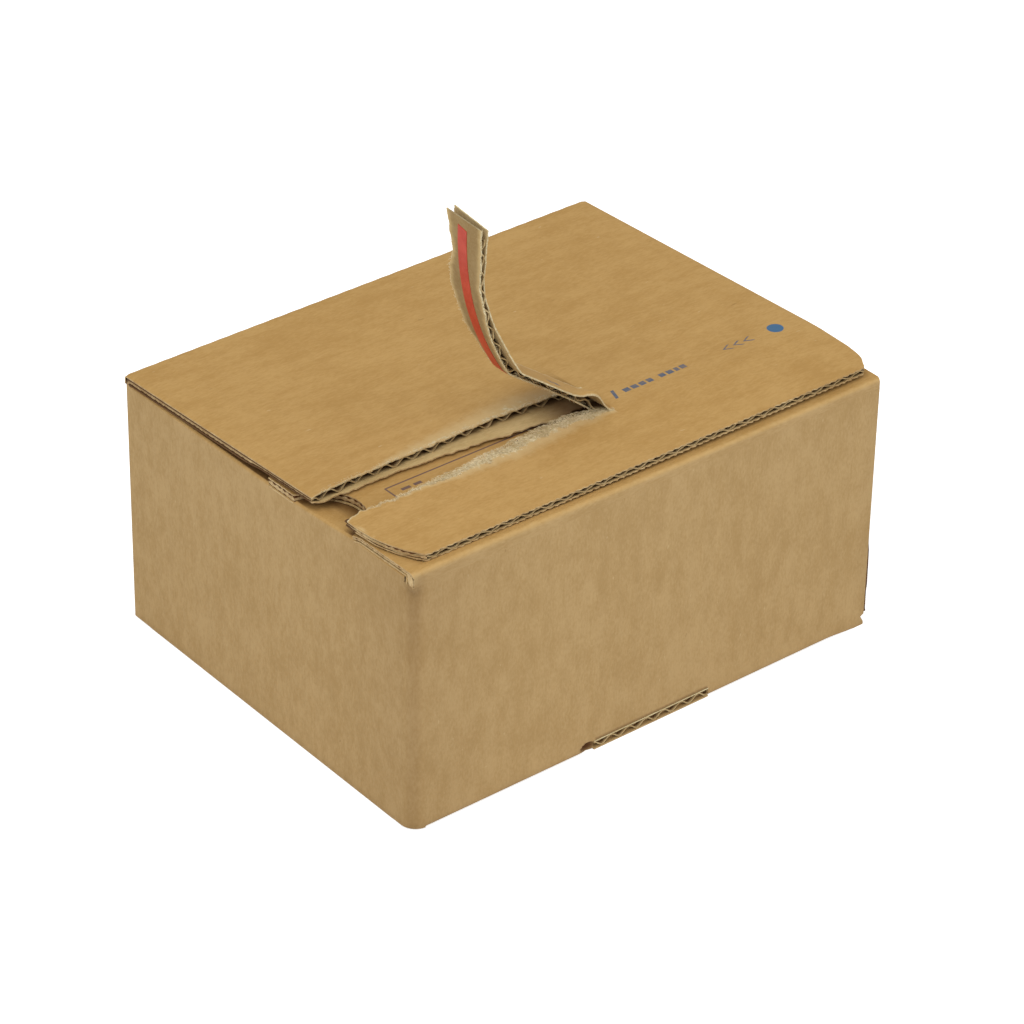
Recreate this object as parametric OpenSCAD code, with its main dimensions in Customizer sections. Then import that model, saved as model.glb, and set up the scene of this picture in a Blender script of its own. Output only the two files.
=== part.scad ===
// Corrugated mailer box with a torn-open closure strip.
// The whole box is one folded sheet of corrugated board: four walls, a glue flap,
// two side flaps, a front flap with a finger notch, a lid and a crash-lock base.
// The lid is glued down along its front band. A strip between two perforated lines
// has been pulled up from the left, and it curls over the lid, with its red tear tape.
// Frame: origin under the middle of the box, X to the right, Y to the back, Z up.

/* [Board] */
// Thickness of the corrugated board
board_t = 3; // [2.4:0.1:4]
// Distance between two neighbouring flutes
flute_pitch = 6.4; // [5:0.1:8]
// Thickness of the two flat liners
liner_t = 0.4; // [0.25:0.05:0.6]
// Thickness of the wavy medium, measured across the board
medium_t = 0.35; // [0.25:0.05:0.5]

/* [Walls] */
// Width of the box over its side walls
box_w = 166; // [150:1:220]
// Depth of the box over its front and rear walls
box_d = 132; // [120:1:180]
// Height of the top face of the side flaps
side_h = 79.3; // [50:0.1:120]
// Outer radius of the vertical folds
corner_r = 5; // [3.5:0.1:8]
// Outer radius of the folds at the base
base_fold_r = 1.5; // [0.6:0.1:2.4]
// Height of the wall corners above the ground, where no flap is folded
corner_lift = 0.6; // [0:0.1:1.4]
// Air between two plies that lie on each other
ply_gap = 0.1; // [0.05:0.05:0.4]
// Thickness of a film of glue
glue_t = 0.2; // [0.1:0.05:0.4]
// Bare rim between a film of glue and the edge of its flap
glue_margin = 2; // [1:0.5:6]

/* [Glued side seam] */
// Reach of the glue flap behind the right wall
seam_flap_w = 35; // [24:1:45]
// Height lost by the glue flap at its free edge, above and below
seam_flap_taper = 5; // [2:0.5:10]
// Step from the face of the right wall back to the fold of the glue flap
seam_step = 0.6; // [0.2:0.1:1.2]
// Slot between the front wall and the raw edge of the right wall
seam_gap = 0.4; // [0.2:0.1:1]
// Room between the glue flap and the flaps above and below it
seam_flap_room = 1; // [0.5:0.1:3]
// Width of the small relief cut where the seam meets the base
seam_relief = 1.2; // [0.6:0.1:2]

/* [Top flaps] */
// Length of each side flap, from the outer face of its wall
side_flap_len = 62; // [40:1:70]
// Room between the side flaps and the front and rear walls
side_flap_room = 1; // [0.5:0.1:3]
// Length of the front flap, from the outer face of the front wall
front_flap_len = 64; // [55:1:80]
// How far the fold of the front flap stands above the free edge of that flap
front_flap_rise = 1; // [0.4:0.1:2]
// Radius of the finger notch in the left edge of the front flap
notch_r = 12.8; // [9:0.1:15]
// Distance from the front wall to the middle of the finger notch
notch_from_front = 39.3; // [30:0.1:45]
// How far the centre of the notch lies outside the left wall
notch_out = 0.8; // [0:0.1:3]

/* [Lid] */
// How far the lid stands over each side wall
lid_overhang = 0.4; // [0:0.1:1]
// Gap between the lid and the free edge of the front flap
lid_gap = 0.25; // [0.1:0.05:0.6]
// Least gap between the front flap and the lid, where the glued band starts
band_gap = 1.45; // [1:0.05:3]
// Outer radius of the fold along the rear wall
lid_fold_r = 1.2; // [0.6:0.1:2]
// Distance from the front wall's face back to the free edge of the lid
lid_setback = 3; // [1:0.1:8]
// Width of the glued band at the front of the lid
band_w = 25; // [20:0.5:30]
// Droop of the glued band towards the front
band_droop = 1.2; // [0.6:0.1:2]
// Radius of the rounded left corner of the band
left_corner_r = 34; // [24:1:60]
// Distance from the start of that rounding to the free edge
left_corner_len = 21; // [12:0.5:23]
// Radius of the rounded right corner of the band
right_corner_r = 18; // [14:1:60]
// Distance from the start of that rounding to the free edge
right_corner_len = 12; // [8:0.5:13.5]

/* [Tear strip] */
// Width between the two perforated lines
strip_w = 15.6; // [12:0.1:20]
// Length that has been torn open, from the left edge of the lid
torn_len = 92; // [80:0.5:120]
// Length of the strip's free end that stood out beyond the lid
tab_len = 1; // [0:0.1:4]
// Thickness of the strip, whose flutes are a little crushed
strip_t = 2.4; // [1.8:0.1:2.9]
// Radius of the bend at the root of the strip
root_r = 2; // [1.5:0.1:6]
// Slope of the straight stretch after the root
rise_angle = 36.5; // [30:0.5:45]
// Length of that straight stretch
ramp_len = 38.6; // [30:0.1:42]
// Radius of the knee above that stretch
knee_r = 5; // [3:0.1:10]
// Slope of the strip above the knee
knee_angle = 58.5; // [50:0.5:70]
// Radius of the upper bend, after which the strip stands upright
curl_r = 82; // [60:0.5:90]
// Width of the red tear tape
tape_w = 4.1; // [2:0.1:6]
// Thickness of the tear tape
tape_t = 0.15; // [0.1:0.05:0.3]
// Distance from the front perforated line to the middle of the tape
tape_from_line = 7.7; // [5:0.1:10]
// Length of bare strip before the tape starts
tape_start = 3; // [1:0.5:8]

/* [Adhesive band] */
// Width of the adhesive under the band, front to back
seal_w = 13; // [8:0.5:16]
// Distance from the free edge of the lid to the adhesive
seal_inset = 4.5; // [2:0.5:6]
// Bare length at each end of the adhesive
seal_end = 12; // [8:0.5:25]

/* [Base] */
// Length of the base side flaps, from the outer face of their wall
base_side_len = 45; // [35:1:50]
// Distance from the front and rear walls to the edges of the base side flaps
base_side_inset = 8.5; // [6:0.5:26]
// Distance from the side walls to the side edges of the large flaps
base_flap_inset = 12; // [9:0.5:20]
// Level stretch of a base side flap before it steps up over the large flap
base_step_start = 2; // [1:0.5:4]
// Distance between the middle of the base and the free edge of each large flap
base_hook = 16; // [10:1:20]
// Lean of the step between the two halves of that edge, to each side
hook_lean = 6.4; // [2:0.1:12]
// Slot between the two large flaps
base_seam_gap = 0.5; // [0.2:0.1:1]
// Width of each locking tongue
tongue_w = 24; // [16:1:28]
// Length of each locking tongue beyond the seam
tongue_len = 18; // [10:1:24]
// Distance from the leaning step to the tongue
tongue_off = 3; // [1:0.5:6]
// Length over which a tongue steps up onto the other flap
tongue_step = 7.5; // [5:0.5:10]
// Room around the root of a tongue
tongue_room = 0.5; // [0.3:0.1:1.5]
// Length of the cut along the front fold of the base
slit_w = 42; // [20:1:70]
// Distance from the middle of the box to the middle of that cut
slit_off = 2; // [-20:1:20]
// Width of that cut
slit_gap = 0.15; // [0.1:0.05:0.3]
// Length of the two glue pads, across the box
pad_w = 24; // [15:1:28]
// Length of the two glue pads, front to back
pad_d = 28; // [18:1:32]

/* [Hidden] */
$fn = 48;
eps = 0.01;
// How far a cut runs past the board
past = 1;
foot_h = 2 * board_t;
half_w = box_w / 2;
half_d = box_d / 2;
base_side_half = half_d - base_side_inset;
side_top = side_h - board_t;
flap_end_y = -half_d + front_flap_len;
flap_end_z = side_h + ply_gap;
flap_fold_y = -half_d + board_t;
flap_fold_z = flap_end_z + front_flap_rise;
flap_slope = front_flap_rise / (flap_end_y - flap_fold_y);
lid_hinge_y = half_d - board_t;
lid_hinge_z = side_h + ply_gap;
lid_half = half_w + lid_overhang;
free_edge_y = -half_d + lid_setback;
line_front = free_edge_y + band_w;
line_rear = line_front + strip_w;
// The lid rests on the flap's free edge, and it keeps clear of the flap at the band
rest_slope = (board_t + lid_gap) / (lid_hinge_y - flap_end_y);
clear_slope = (flap_top(line_front) + band_gap - lid_hinge_z) / (lid_hinge_y - line_front);
lid_slope = max(rest_slope, clear_slope);
lid_tilt = atan(lid_slope);
line_mid = (line_front + line_rear) / 2;
root_x = -lid_half + torn_len;
strip_len = torn_len + tab_len;
slit_x0 = slit_off - slit_w / 2;
slit_x1 = slit_off + slit_w / 2;
lid_floor_t = board_t / cos(lid_tilt);
band_pivot_z = lid_hinge_z + (lid_hinge_y - line_front) * lid_slope + lid_floor_t;
tongue_x = -hook_lean - base_seam_gap - tongue_off;
// Solid board left between two air cells, and beside a perforated line
bond = 0.5;
line_web = 2;
// How far open air cells run past a ragged edge
cell_past = 10;
root_lap = 0.4;
cell_half = flute_pitch / 2 - bond;
cell_steps = 4;
strip_cell_half = 0.97 * cell_half;
torn_liner_t = 0.8 * liner_t;

// Heights of the lid's underside, the band's underside and the front flap's top face
function lid_under(y) = lid_hinge_z + (lid_hinge_y - y) * lid_slope;
function band_under(y) = band_pivot_z - (line_front - y) * tan(band_droop) - board_t / cos(band_droop);
function flap_top(y) = flap_end_z + board_t + (flap_end_y - y) * flap_slope;

// Ragged lines of the tear. Each pair holds a share of the torn length, counted from
// the left edge of the lid, and the distance in front of the rear perforated line.
tear_outer = [[0, 0], [0.06, -0.5], [0.18, -1.1], [0.41, -1.3], [0.7, -2], [0.88, -1.2], [1, 0]];
tear_inner = [[0, 0], [0.07, 0.2], [0.32, 0.6], [0.5, 1.8], [0.66, 3.7], [0.87, 6.3], [1, 5.6]];
// The same for the band, as distances behind the front perforated line.
tear_band = [[0, 0], [0.1, 1.9], [0.19, 1.2], [0.3, 0], [0.49, 0], [0.7, 1.7], [0.82, 2.8],
    [0.95, 3.2], [1, 0]];
// Rear edges of the lifted strip. Each pair holds a share of the height that the strip
// reaches above its root, and the distance in front of the rear perforated line.
rear_inner = [[0, 5.6], [0.2, 5.4], [0.38, 5], [0.45, 4], [0.51, 2.2], [0.6, 1.7], [0.7, 0.7],
    [0.78, 2], [0.84, 3.5], [0.92, 2.4], [1, 0.9]];
rear_outer = [[0, 0.6], [0.2, 1.6], [0.4, 2.4], [0.55, 1.2], [0.7, 0.4], [0.85, 1.2], [1, 1.5]];
// The same for the front edges, as distances behind the front perforated line.
front_inner = [[0, 0.4], [0.06, 2.6], [0.36, 2.6], [0.53, 2.5], [0.62, 1.6], [0.73, 1.5], [0.82, 0.6],
    [0.9, 0], [1, 0]];
front_outer = [[0, 0], [0.45, 0.4], [0.54, 2], [0.68, 3], [0.76, 2.3], [0.84, 0.8], [0.93, 0], [1, 0]];

// Extrudes a profile drawn in Y and Z along X
module along_x(x0, x1) {
    translate([x0, 0, 0]) rotate([90, 0, 90]) linear_extrude(x1 - x0) children();
}

// Extrudes a profile drawn in X and Z along Y
module along_y(y0, y1) {
    translate([0, y1, 0]) rotate([90, 0, 0]) linear_extrude(y1 - y0) children();
}

// Corner points of the air cell on one side of the medium, over one flute
function cell(t) = let (
    swing = (t - 2 * liner_t - medium_t) / 2,
    wave = [for (i = [0 : cell_steps])
        let (u = -cell_half + 2 * cell_half * i / cell_steps)
        [u, (t + medium_t) / 2 - swing * cos(360 * u / flute_pitch)]]
) concat(wave, [[cell_half, t - liner_t], [-cell_half, t - liner_t]]);

// Air cells of a flat board of thickness board_t that lies on z = 0, with flutes along Y
module flute_cells(x0, x1, y0, y1) {
    first = ceil((x0 + flute_pitch / 2) / (flute_pitch / 2));
    last = floor((x1 - flute_pitch / 2) / (flute_pitch / 2));
    for (i = [first : last]) {
        x = i * flute_pitch / 2;
        translate([x, 0, 0]) along_y(y0, y1)
            if (i % 2 == 0) polygon(cell(board_t));
            else translate([0, board_t]) mirror([0, 1]) polygon(cell(board_t));
    }
}

// Outline of the box in plan, grown or shrunk by d, with rounded vertical folds
module plan_outline(d) {
    r = corner_r + d;
    w = box_w + 2 * d;
    l = box_d + 2 * d;
    square([w - 2 * r, l], center = true);
    square([w, l - 2 * r], center = true);
    for (sx = [-1, 1], sy = [-1, 1])
        translate([sx * (w / 2 - r), sy * (l / 2 - r)]) circle(r);
}

// Front right corner, where the front wall folds in behind the raw edge of the right wall
module seam_corner() {
    edge = half_w - seam_step;
    translate([half_w - corner_r, -half_d])
        square([edge - base_fold_r - half_w + corner_r, board_t]);
    translate([edge - base_fold_r, -half_d + base_fold_r]) circle(base_fold_r);
    translate([edge - board_t, -half_d + base_fold_r]) square([board_t, board_t - base_fold_r]);
}

module wall_plan() {
    difference() {
        plan_outline(0);
        plan_outline(-board_t);
        translate([half_w - corner_r, -half_d - past]) square([corner_r + past, corner_r + past]);
    }
    // The raw edge of the right wall runs straight up to the slot
    translate([half_w - board_t, -half_d + board_t + seam_gap]) square([board_t, corner_r]);
    seam_corner();
}

// Quarter of a solid fold in profile: the round side lies between the angles a0 and a1
module fold_sector(a0, a1, r) {
    reach = 2 * board_t;
    intersection() {
        circle(r);
        polygon([[0, 0], reach * [cos(a0), sin(a0)], reach * [cos(a0) + cos(a1), sin(a0) + sin(a1)],
            reach * [cos(a1), sin(a1)]]);
    }
}

module walls() {
    translate([0, 0, foot_h]) linear_extrude(side_top - foot_h) wall_plan();
    // The front and rear walls stand higher than the side walls
    translate([0, 0, side_top]) linear_extrude(lid_hinge_z - side_top) intersection() {
        wall_plan();
        translate([-box_w, half_d - board_t]) square([2 * box_w, board_t]);
    }
    translate([0, 0, side_top]) linear_extrude(flap_fold_z - side_top) intersection() {
        wall_plan();
        translate([-box_w, -half_d]) square([2 * box_w, board_t]);
    }
    // Feet of the walls in the corners
    translate([0, 0, corner_lift]) linear_extrude(foot_h - corner_lift + eps) difference() {
        wall_plan();
        square([box_w - 2 * corner_r, 2 * box_d], center = true);
        square([2 * box_w, 2 * base_side_half], center = true);
    }
}

module seam_flap() {
    x1 = half_w - board_t - glue_t;
    y0 = -half_d + board_t - eps;
    y1 = -half_d + seam_flap_w;
    z0 = foot_h + glue_t + seam_flap_room;
    z1 = side_top - seam_flap_room;
    along_x(x1 - board_t, x1)
        polygon([
            [y0, z0],
            [y1, z0 + seam_flap_taper],
            [y1, z1 - seam_flap_taper],
            [y0, z1]
        ]);
}

module side_flaps() {
    y1 = half_d - board_t - side_flap_room;
    for (s = [0, 1]) mirror([s, 0, 0]) along_y(-y1, y1) translate([-half_w + board_t, side_top]) {
        fold_sector(90, 180, board_t);
        square([side_flap_len - board_t, board_t]);
    }
}

module front_flap() {
    run = flap_end_y - flap_fold_y;
    difference() {
        along_x(-half_w, half_w) {
            translate([flap_fold_y, flap_fold_z]) fold_sector(90, 180, board_t);
            polygon([
                [flap_fold_y, flap_fold_z],
                [flap_end_y, flap_end_z],
                [flap_end_y, flap_end_z + board_t],
                [flap_fold_y, flap_fold_z + board_t]
            ]);
        }
        translate([0, flap_fold_y, flap_fold_z]) rotate([-atan(flap_slope), 0, 0])
            flute_cells(-half_w, half_w, board_t, run + board_t);
        translate([-half_w - notch_out, -half_d + notch_from_front, side_h + ply_gap / 2])
            cylinder(r = notch_r, h = 2 * board_t);
    }
}

// Plan of the lid behind the tear, and of the part that is still whole
module lid_plan(tear) {
    polygon(concat(
        [[-lid_half, lid_hinge_y], [lid_half, lid_hinge_y], [lid_half, line_front], [root_x, line_front]],
        [for (i = [len(tear) - 1 : -1 : 0])
            [-lid_half + tear[i][0] * torn_len, line_rear - tear[i][1]]]
    ));
}

// What is cut off the band at its right corner
module corner_cut(r, reach) {
    difference() {
        translate([lid_half - reach, free_edge_y - eps]) square([reach + eps, reach + eps]);
        translate([lid_half - r, free_edge_y + reach]) circle(r, $fn = 96);
    }
}

module band_plan() {
    difference() {
        polygon(concat(
            [[root_x, line_front], [lid_half, line_front], [lid_half, free_edge_y], [-lid_half, free_edge_y]],
            [for (p = tear_band) [-lid_half + p[0] * torn_len, line_front + p[1]]]
        ));
        mirror([1, 0]) corner_cut(left_corner_r, left_corner_len);
        corner_cut(right_corner_r, right_corner_len);
    }
}

// Puts a flat board, drawn around the lid's hinge line, at the slope of the lid
module on_lid() {
    translate([0, lid_hinge_y, lid_hinge_z]) rotate([-lid_tilt, 0, 0]) translate([0, -lid_hinge_y, 0])
        children();
}

// Puts a flat board at the droop of the glued band, which turns about its top edge
module on_band() {
    translate([0, line_front, band_pivot_z]) rotate([band_droop, 0, 0])
        translate([0, -line_front, -board_t])
        children();
}

// Profile of the fold along the rear wall, drawn around its inner corner. The wall's
// face and the lid's face run on to a short round fold.
module rear_fold() {
    open = 90 - lid_tilt;
    centre = [board_t - lid_fold_r, board_t / cos(lid_tilt) - (board_t - lid_fold_r) * lid_slope
        - lid_fold_r / cos(lid_tilt)];
    polygon([
        [0, 0],
        [board_t, 0],
        centre + [lid_fold_r, 0],
        centre,
        centre + lid_fold_r * [cos(open), sin(open)],
        board_t * [cos(open), sin(open)]
    ]);
    translate(centre) fold_sector(0, open, lid_fold_r);
}

module lid() {
    difference() {
        union() {
            on_lid() translate([0, 0, liner_t]) linear_extrude(board_t - liner_t) lid_plan(tear_outer);
            on_lid() linear_extrude(liner_t) lid_plan(tear_inner);
        }
        on_lid() flute_cells(-lid_half, root_x, line_rear - cell_past, lid_hinge_y - board_t);
        on_lid() flute_cells(root_x, lid_half, line_front + line_web, lid_hinge_y - board_t);
    }
    along_x(-half_w, half_w) translate([lid_hinge_y, lid_hinge_z]) rear_fold();
    difference() {
        on_band() linear_extrude(board_t) band_plan();
        on_band() flute_cells(-lid_half, root_x, free_edge_y - past, line_front + cell_past);
        on_band() flute_cells(root_x, lid_half, free_edge_y - past, line_front - line_web);
    }
}

// Path of the strip: s runs from the root, and d is the depth below the strip's top face
root_len = root_r * rise_angle * PI / 180;
knee_len = knee_r * (knee_angle - rise_angle) * PI / 180;
curl_len = curl_r * (90 - knee_angle) * PI / 180;
ramp_end = root_len + ramp_len;
knee_end = ramp_end + knee_len;
curl_end = knee_end + curl_len;
root_z = lid_under(line_mid) + lid_floor_t;
ramp_start = on_arc([root_x, root_z], root_r, 0, rise_angle);
knee_start = ramp_start + ramp_len * [-cos(rise_angle), sin(rise_angle)];
curl_start = on_arc(knee_start, knee_r, rise_angle, knee_angle);
stand_start = on_arc(curl_start, curl_r, knee_angle, 90);
strip_top = stand_start[1] + strip_len - curl_end;

// Point with slope a on an arc that starts at p with slope a0
function on_arc(p, r, a0, a) = p + r * [sin(a0) - sin(a), cos(a0) - cos(a)];

function path_angle(s) =
    s < 0 ? 0 :
    s < root_len ? s / root_r * 180 / PI :
    s < ramp_end ? rise_angle :
    s < knee_end ? rise_angle + (s - ramp_end) / knee_r * 180 / PI :
    s < curl_end ? knee_angle + (s - knee_end) / curl_r * 180 / PI : 90;

function path_point(s) = let (a = path_angle(s))
    s < 0 ? [root_x - s, root_z] :
    s < root_len ? on_arc([root_x, root_z], root_r, 0, a) :
    s < ramp_end ? ramp_start + (s - root_len) * [-cos(a), sin(a)] :
    s < knee_end ? on_arc(knee_start, knee_r, rise_angle, a) :
    s < curl_end ? on_arc(curl_start, curl_r, knee_angle, a) :
    stand_start + [0, s - curl_end];

function on_path(s, d) = let (a = path_angle(s)) path_point(s) + d * [-sin(a), -cos(a)];

// The strip thins from the full board at its root to its crushed thickness
function strip_depth(s) = strip_t + (board_t - strip_t) * min(1, max(0, 1 - s / (2 * flute_pitch)));

// Stations along the path, four to a flute, that everything on the strip shares. The
// first one lies inside the lid, and none lies in the plane where the lid is torn.
function stations(s1) = let (step = flute_pitch / 4)
    concat([-root_lap], [for (i = [1 : ceil(s1 / step) - 1]) i * step], [s1]);

// Closed band between two depths, each counted from a share of the strip's thickness
module strip_layer(share0, depth0, share1, depth1, s1) {
    ss = stations(s1);
    polygon(concat(
        [for (s = ss) on_path(s, share0 * strip_depth(s) + depth0)],
        [for (i = [len(ss) - 1 : -1 : 0]) on_path(ss[i], share1 * strip_depth(ss[i]) + depth1)]
    ));
}

// One air cell of the strip: side 0 lies under the top liner, side 1 above the inner liner
module strip_cell(s, side) {
    us = [for (i = [0 : cell_steps]) strip_cell_half * (2 * i / cell_steps - 1)];
    function depth(u) = let (
        t = strip_depth(s + u),
        swing = (t - 2 * liner_t - medium_t) / 2,
        d = (t - medium_t) / 2 + swing * cos(360 * u / flute_pitch)
    ) side == 0 ? d : t - d;
    function wall(u) = side == 0 ? liner_t : strip_depth(s + u) - liner_t;
    polygon(concat(
        [for (u = us) on_path(s + u, depth(u))],
        [for (u = [strip_cell_half, 0, -strip_cell_half]) on_path(s + u, wall(u))]
    ));
}

// Height of a share of the lifted strip
function strip_z(share) = root_z + share * (strip_top - root_z);

// Mask in Y and Z that gives the strip its ragged edges, from the top down and up again
module strip_mask(front, rear) {
    high = strip_top + past;
    along_x(stand_start[0] - 2 * board_t, root_x + past)
        polygon(concat(
            [[line_front + front[len(front) - 1][1], high]],
            [for (i = [len(front) - 1 : -1 : 0]) [line_front + front[i][1], strip_z(front[i][0])]],
            [[line_front + front[0][1], lid_hinge_z], [line_rear - rear[0][1], lid_hinge_z]],
            [for (p = rear) [line_rear - p[1], strip_z(p[0])]],
            [[line_rear - rear[len(rear) - 1][1], high]]
        ));
}

module tear_strip() {
    cells = floor((strip_len - cell_half - bond) / (flute_pitch / 2));
    intersection() {
        along_y(line_front, line_rear) difference() {
            strip_layer(0, 0, 1, 0, strip_len);
            for (i = [2 : cells]) strip_cell(i * flute_pitch / 2, i % 2);
        }
        strip_mask(front_inner, rear_inner);
    }
    // The top liner tore off wider than the rest
    intersection() {
        along_y(line_front, line_rear) strip_layer(0, 0, 0, torn_liner_t, strip_len);
        strip_mask(front_outer, rear_outer);
    }
}

// One large base flap in plan; the rear one is the same, turned round
module base_flap_plan() {
    side = half_w - base_flap_inset;
    fold_y = -half_d + base_fold_r;
    taper_y = -base_side_half - board_t;
    cut = base_seam_gap / 2;
    polygon([
        [-half_w + corner_r, fold_y],
        [half_w - corner_r, fold_y],
        [side, taper_y],
        [side, -base_hook - cut],
        [hook_lean - cut, -base_hook - cut],
        [-hook_lean - cut, base_hook - cut],
        [-side, base_hook - cut],
        [-side, taper_y]
    ]);
}

// How far the upper face of a board bends before its lower face, where it steps up
function fold_shift(rise, run) = board_t * tan(atan(rise / run) / 2);

// Tongue of a large flap, which steps up and locks over the other large flap
module locking_tongue() {
    up = board_t + ply_gap;
    y1 = base_hook - tongue_room;
    y0 = y1 - tongue_step;
    shift = fold_shift(up, tongue_step);
    along_x(tongue_x - tongue_w, tongue_x)
        polygon([
            [y0, 0],
            [y1, up],
            [base_hook + tongue_len, up],
            [base_hook + tongue_len, up + board_t],
            [y1 - shift, up + board_t],
            [y0 - shift, board_t]
        ]);
}

module large_base_flap(slit) {
    difference() {
        union() {
            linear_extrude(board_t) base_flap_plan();
            along_x(-half_w + corner_r, half_w - corner_r)
                translate([-half_d, 0]) {
                    translate([base_fold_r, base_fold_r]) circle(base_fold_r);
                    translate([0, base_fold_r]) square([board_t, foot_h]);
                    translate([base_fold_r, 0]) square([board_t, board_t]);
                }
        }
        // Room for the rear tongue's root and its own step
        translate([tongue_x - tongue_w - tongue_room, base_hook - tongue_room - tongue_step, -eps])
            cube([tongue_w + 2 * tongue_room, tongue_step + 2 * past, board_t + 2 * eps]);
        flute_cells(-half_w + base_flap_inset, half_w - base_flap_inset,
            -half_d + board_t + past, base_hook + past);
        if (slit) {
            translate([slit_x0, -half_d - eps, board_t]) cube([slit_w, board_t + past, slit_gap]);
            flute_cells(slit_x0, slit_x1, -half_d - past, -half_d + board_t + 2 * past);
        }
    }
    if (slit) slit_edge();
    locking_tongue();
}

// Along the cut the two raw edges of the board stay square
module slit_edge() {
    difference() {
        translate([slit_x0 + eps, -half_d, 0]) cube([slit_w - 2 * eps, board_t, board_t]);
        flute_cells(slit_x0, slit_x1, -half_d - past, -half_d + board_t + 2 * past);
    }
}

module base_side_flaps() {
    step = board_t + glue_t;
    x0 = -half_w + base_fold_r;
    x1 = -half_w + board_t + base_step_start;
    x2 = -half_w + base_flap_inset - tongue_room;
    shift = fold_shift(step, x2 - x1);
    for (s = [0, 1]) mirror([s, 0, 0]) along_y(-base_side_half, base_side_half) {
        translate([-half_w, base_fold_r]) square([board_t, foot_h]);
        translate([x0, base_fold_r]) circle(base_fold_r);
        polygon([
            [x0, 0],
            [x1, 0],
            [x2, step],
            [-half_w + base_side_len, step],
            [-half_w + base_side_len, step + board_t],
            [x2 - shift, step + board_t],
            [x1 - shift, board_t],
            [x0, board_t]
        ]);
    }
}

module box_blank() {
    color("#b8935a") difference() {
        union() {
            walls();
            seam_flap();
            side_flaps();
            front_flap();
            lid();
            tear_strip();
            large_base_flap(true);
            rotate(180) large_base_flap(false);
            base_side_flaps();
        }
        // Relief cut where the seam meets the base
        translate([half_w - seam_relief, -half_d - past, board_t - seam_relief / 2])
            cube([seam_relief + past, 2 * board_t + past, seam_relief]);
    }
}

module tear_tape() {
    y0 = line_front + tape_from_line - tape_w / 2;
    color("#b8452c") {
        along_y(y0, y0 + tape_w) strip_layer(1, 0, 1, tape_t, strip_len - tape_start);
        on_lid() translate([root_x, y0, -tape_t]) cube([lid_half - root_x, tape_w, tape_t]);
    }
}

module seal_adhesive() {
    y0 = free_edge_y + seal_inset;
    y1 = y0 + seal_w;
    color("#d9cfa8") along_x(-lid_half + seal_end, lid_half - seal_end)
        polygon([
            [y0, flap_top(y0)],
            [y1, flap_top(y1)],
            [y1, band_under(y1)],
            [y0, band_under(y0)]
        ]);
}

module seam_glue() {
    y0 = -half_d + board_t + seam_gap + glue_margin;
    y1 = -half_d + seam_flap_w - glue_margin;
    z0 = foot_h + glue_t + seam_flap_room + seam_flap_taper + glue_margin;
    z1 = side_top - seam_flap_room - seam_flap_taper - glue_margin;
    color("#e2d8b4") translate([half_w - board_t - glue_t, y0, z0]) cube([glue_t, y1 - y0, z1 - z0]);
}

module base_pad() {
    x0 = -half_w + base_side_len - glue_margin - pad_w;
    color("#e2d8b4") translate([x0, -base_side_half + glue_margin, board_t]) cube([pad_w, pad_d, glue_t]);
}

module base_glue_left() {
    base_pad();
}

module base_glue_right() {
    rotate(180) base_pad();
}

box_blank();
tear_tape();
seal_adhesive();
seam_glue();
base_glue_left();
base_glue_right();
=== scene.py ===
# %% [markdown]
# # A corrugated mailer box with its tear strip pulled up
# The whole box is one sheet of corrugated board: two flat liners with a wavy medium
# between them. From outside we mostly see the brown outer liner, but the open edges
# and the tear show how the board is built. So this scene models the board the way it
# is made, as three thin papers, and gives each its own edges.

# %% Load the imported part
import math

import bpy
import numpy as np
from mathutils import Matrix, Vector, noise


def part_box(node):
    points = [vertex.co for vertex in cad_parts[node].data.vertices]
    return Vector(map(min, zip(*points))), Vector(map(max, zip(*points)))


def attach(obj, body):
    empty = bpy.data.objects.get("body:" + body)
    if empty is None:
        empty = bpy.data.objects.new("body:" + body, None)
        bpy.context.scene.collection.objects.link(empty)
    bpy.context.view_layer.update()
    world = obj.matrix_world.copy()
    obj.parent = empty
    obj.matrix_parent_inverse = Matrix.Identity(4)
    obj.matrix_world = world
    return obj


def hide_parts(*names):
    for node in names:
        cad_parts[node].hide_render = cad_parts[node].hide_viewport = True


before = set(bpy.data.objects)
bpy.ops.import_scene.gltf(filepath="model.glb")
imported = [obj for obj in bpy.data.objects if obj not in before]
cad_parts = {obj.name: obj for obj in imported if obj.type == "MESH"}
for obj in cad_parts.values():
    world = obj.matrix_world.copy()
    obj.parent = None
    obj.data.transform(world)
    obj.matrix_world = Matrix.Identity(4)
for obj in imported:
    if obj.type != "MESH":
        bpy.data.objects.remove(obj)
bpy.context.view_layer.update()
MM = 0.001
low, high = (np.array(corner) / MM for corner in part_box("box_blank"))
print("CAD box in mm:", low.round(1), high.round(1))

# %% [markdown]
# ## Driving dimensions
# Everything below is worked out from a few sizes of the box, in millimetres. The
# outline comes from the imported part, so the looks sit exactly where the part is.

# %% Sizes of the box and of the board
BOARD = 3.0
PITCH = 6.4
LINER = 0.4
MEDIUM = 0.35
TOOTH = 2.3
LID_HALF = high[0]
HALF_W = LID_HALF - 0.4
HALF_D = high[1]
STRIP_TOP = high[2]
WALL_TOP = 76.3
SIDE_TOP = WALL_TOP + BOARD
CORNER_R = 5.0
FOOT_R = 1.5
SIDE_FOOT = HALF_D - 8.5
HINGE_Y = HALF_D - BOARD
HINGE_Z = SIDE_TOP + 0.1
LID_SLOPE = 0.05
LID_RISE = BOARD / math.cos(math.atan(LID_SLOPE))
LID_FOLD_R = 1.2
FREE_Y = -HALF_D + 3.0
LINE_FRONT = FREE_Y + 25.0
LINE_REAR = LINE_FRONT + 15.6
TORN = 92.0
ROOT_X = -LID_HALF + TORN
BAND_DROOP = math.tan(math.radians(1.2))
LEFT_ARC, LEFT_REACH = 34.0, 21.0
RIGHT_ARC, RIGHT_REACH = 18.0, 12.0
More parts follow.
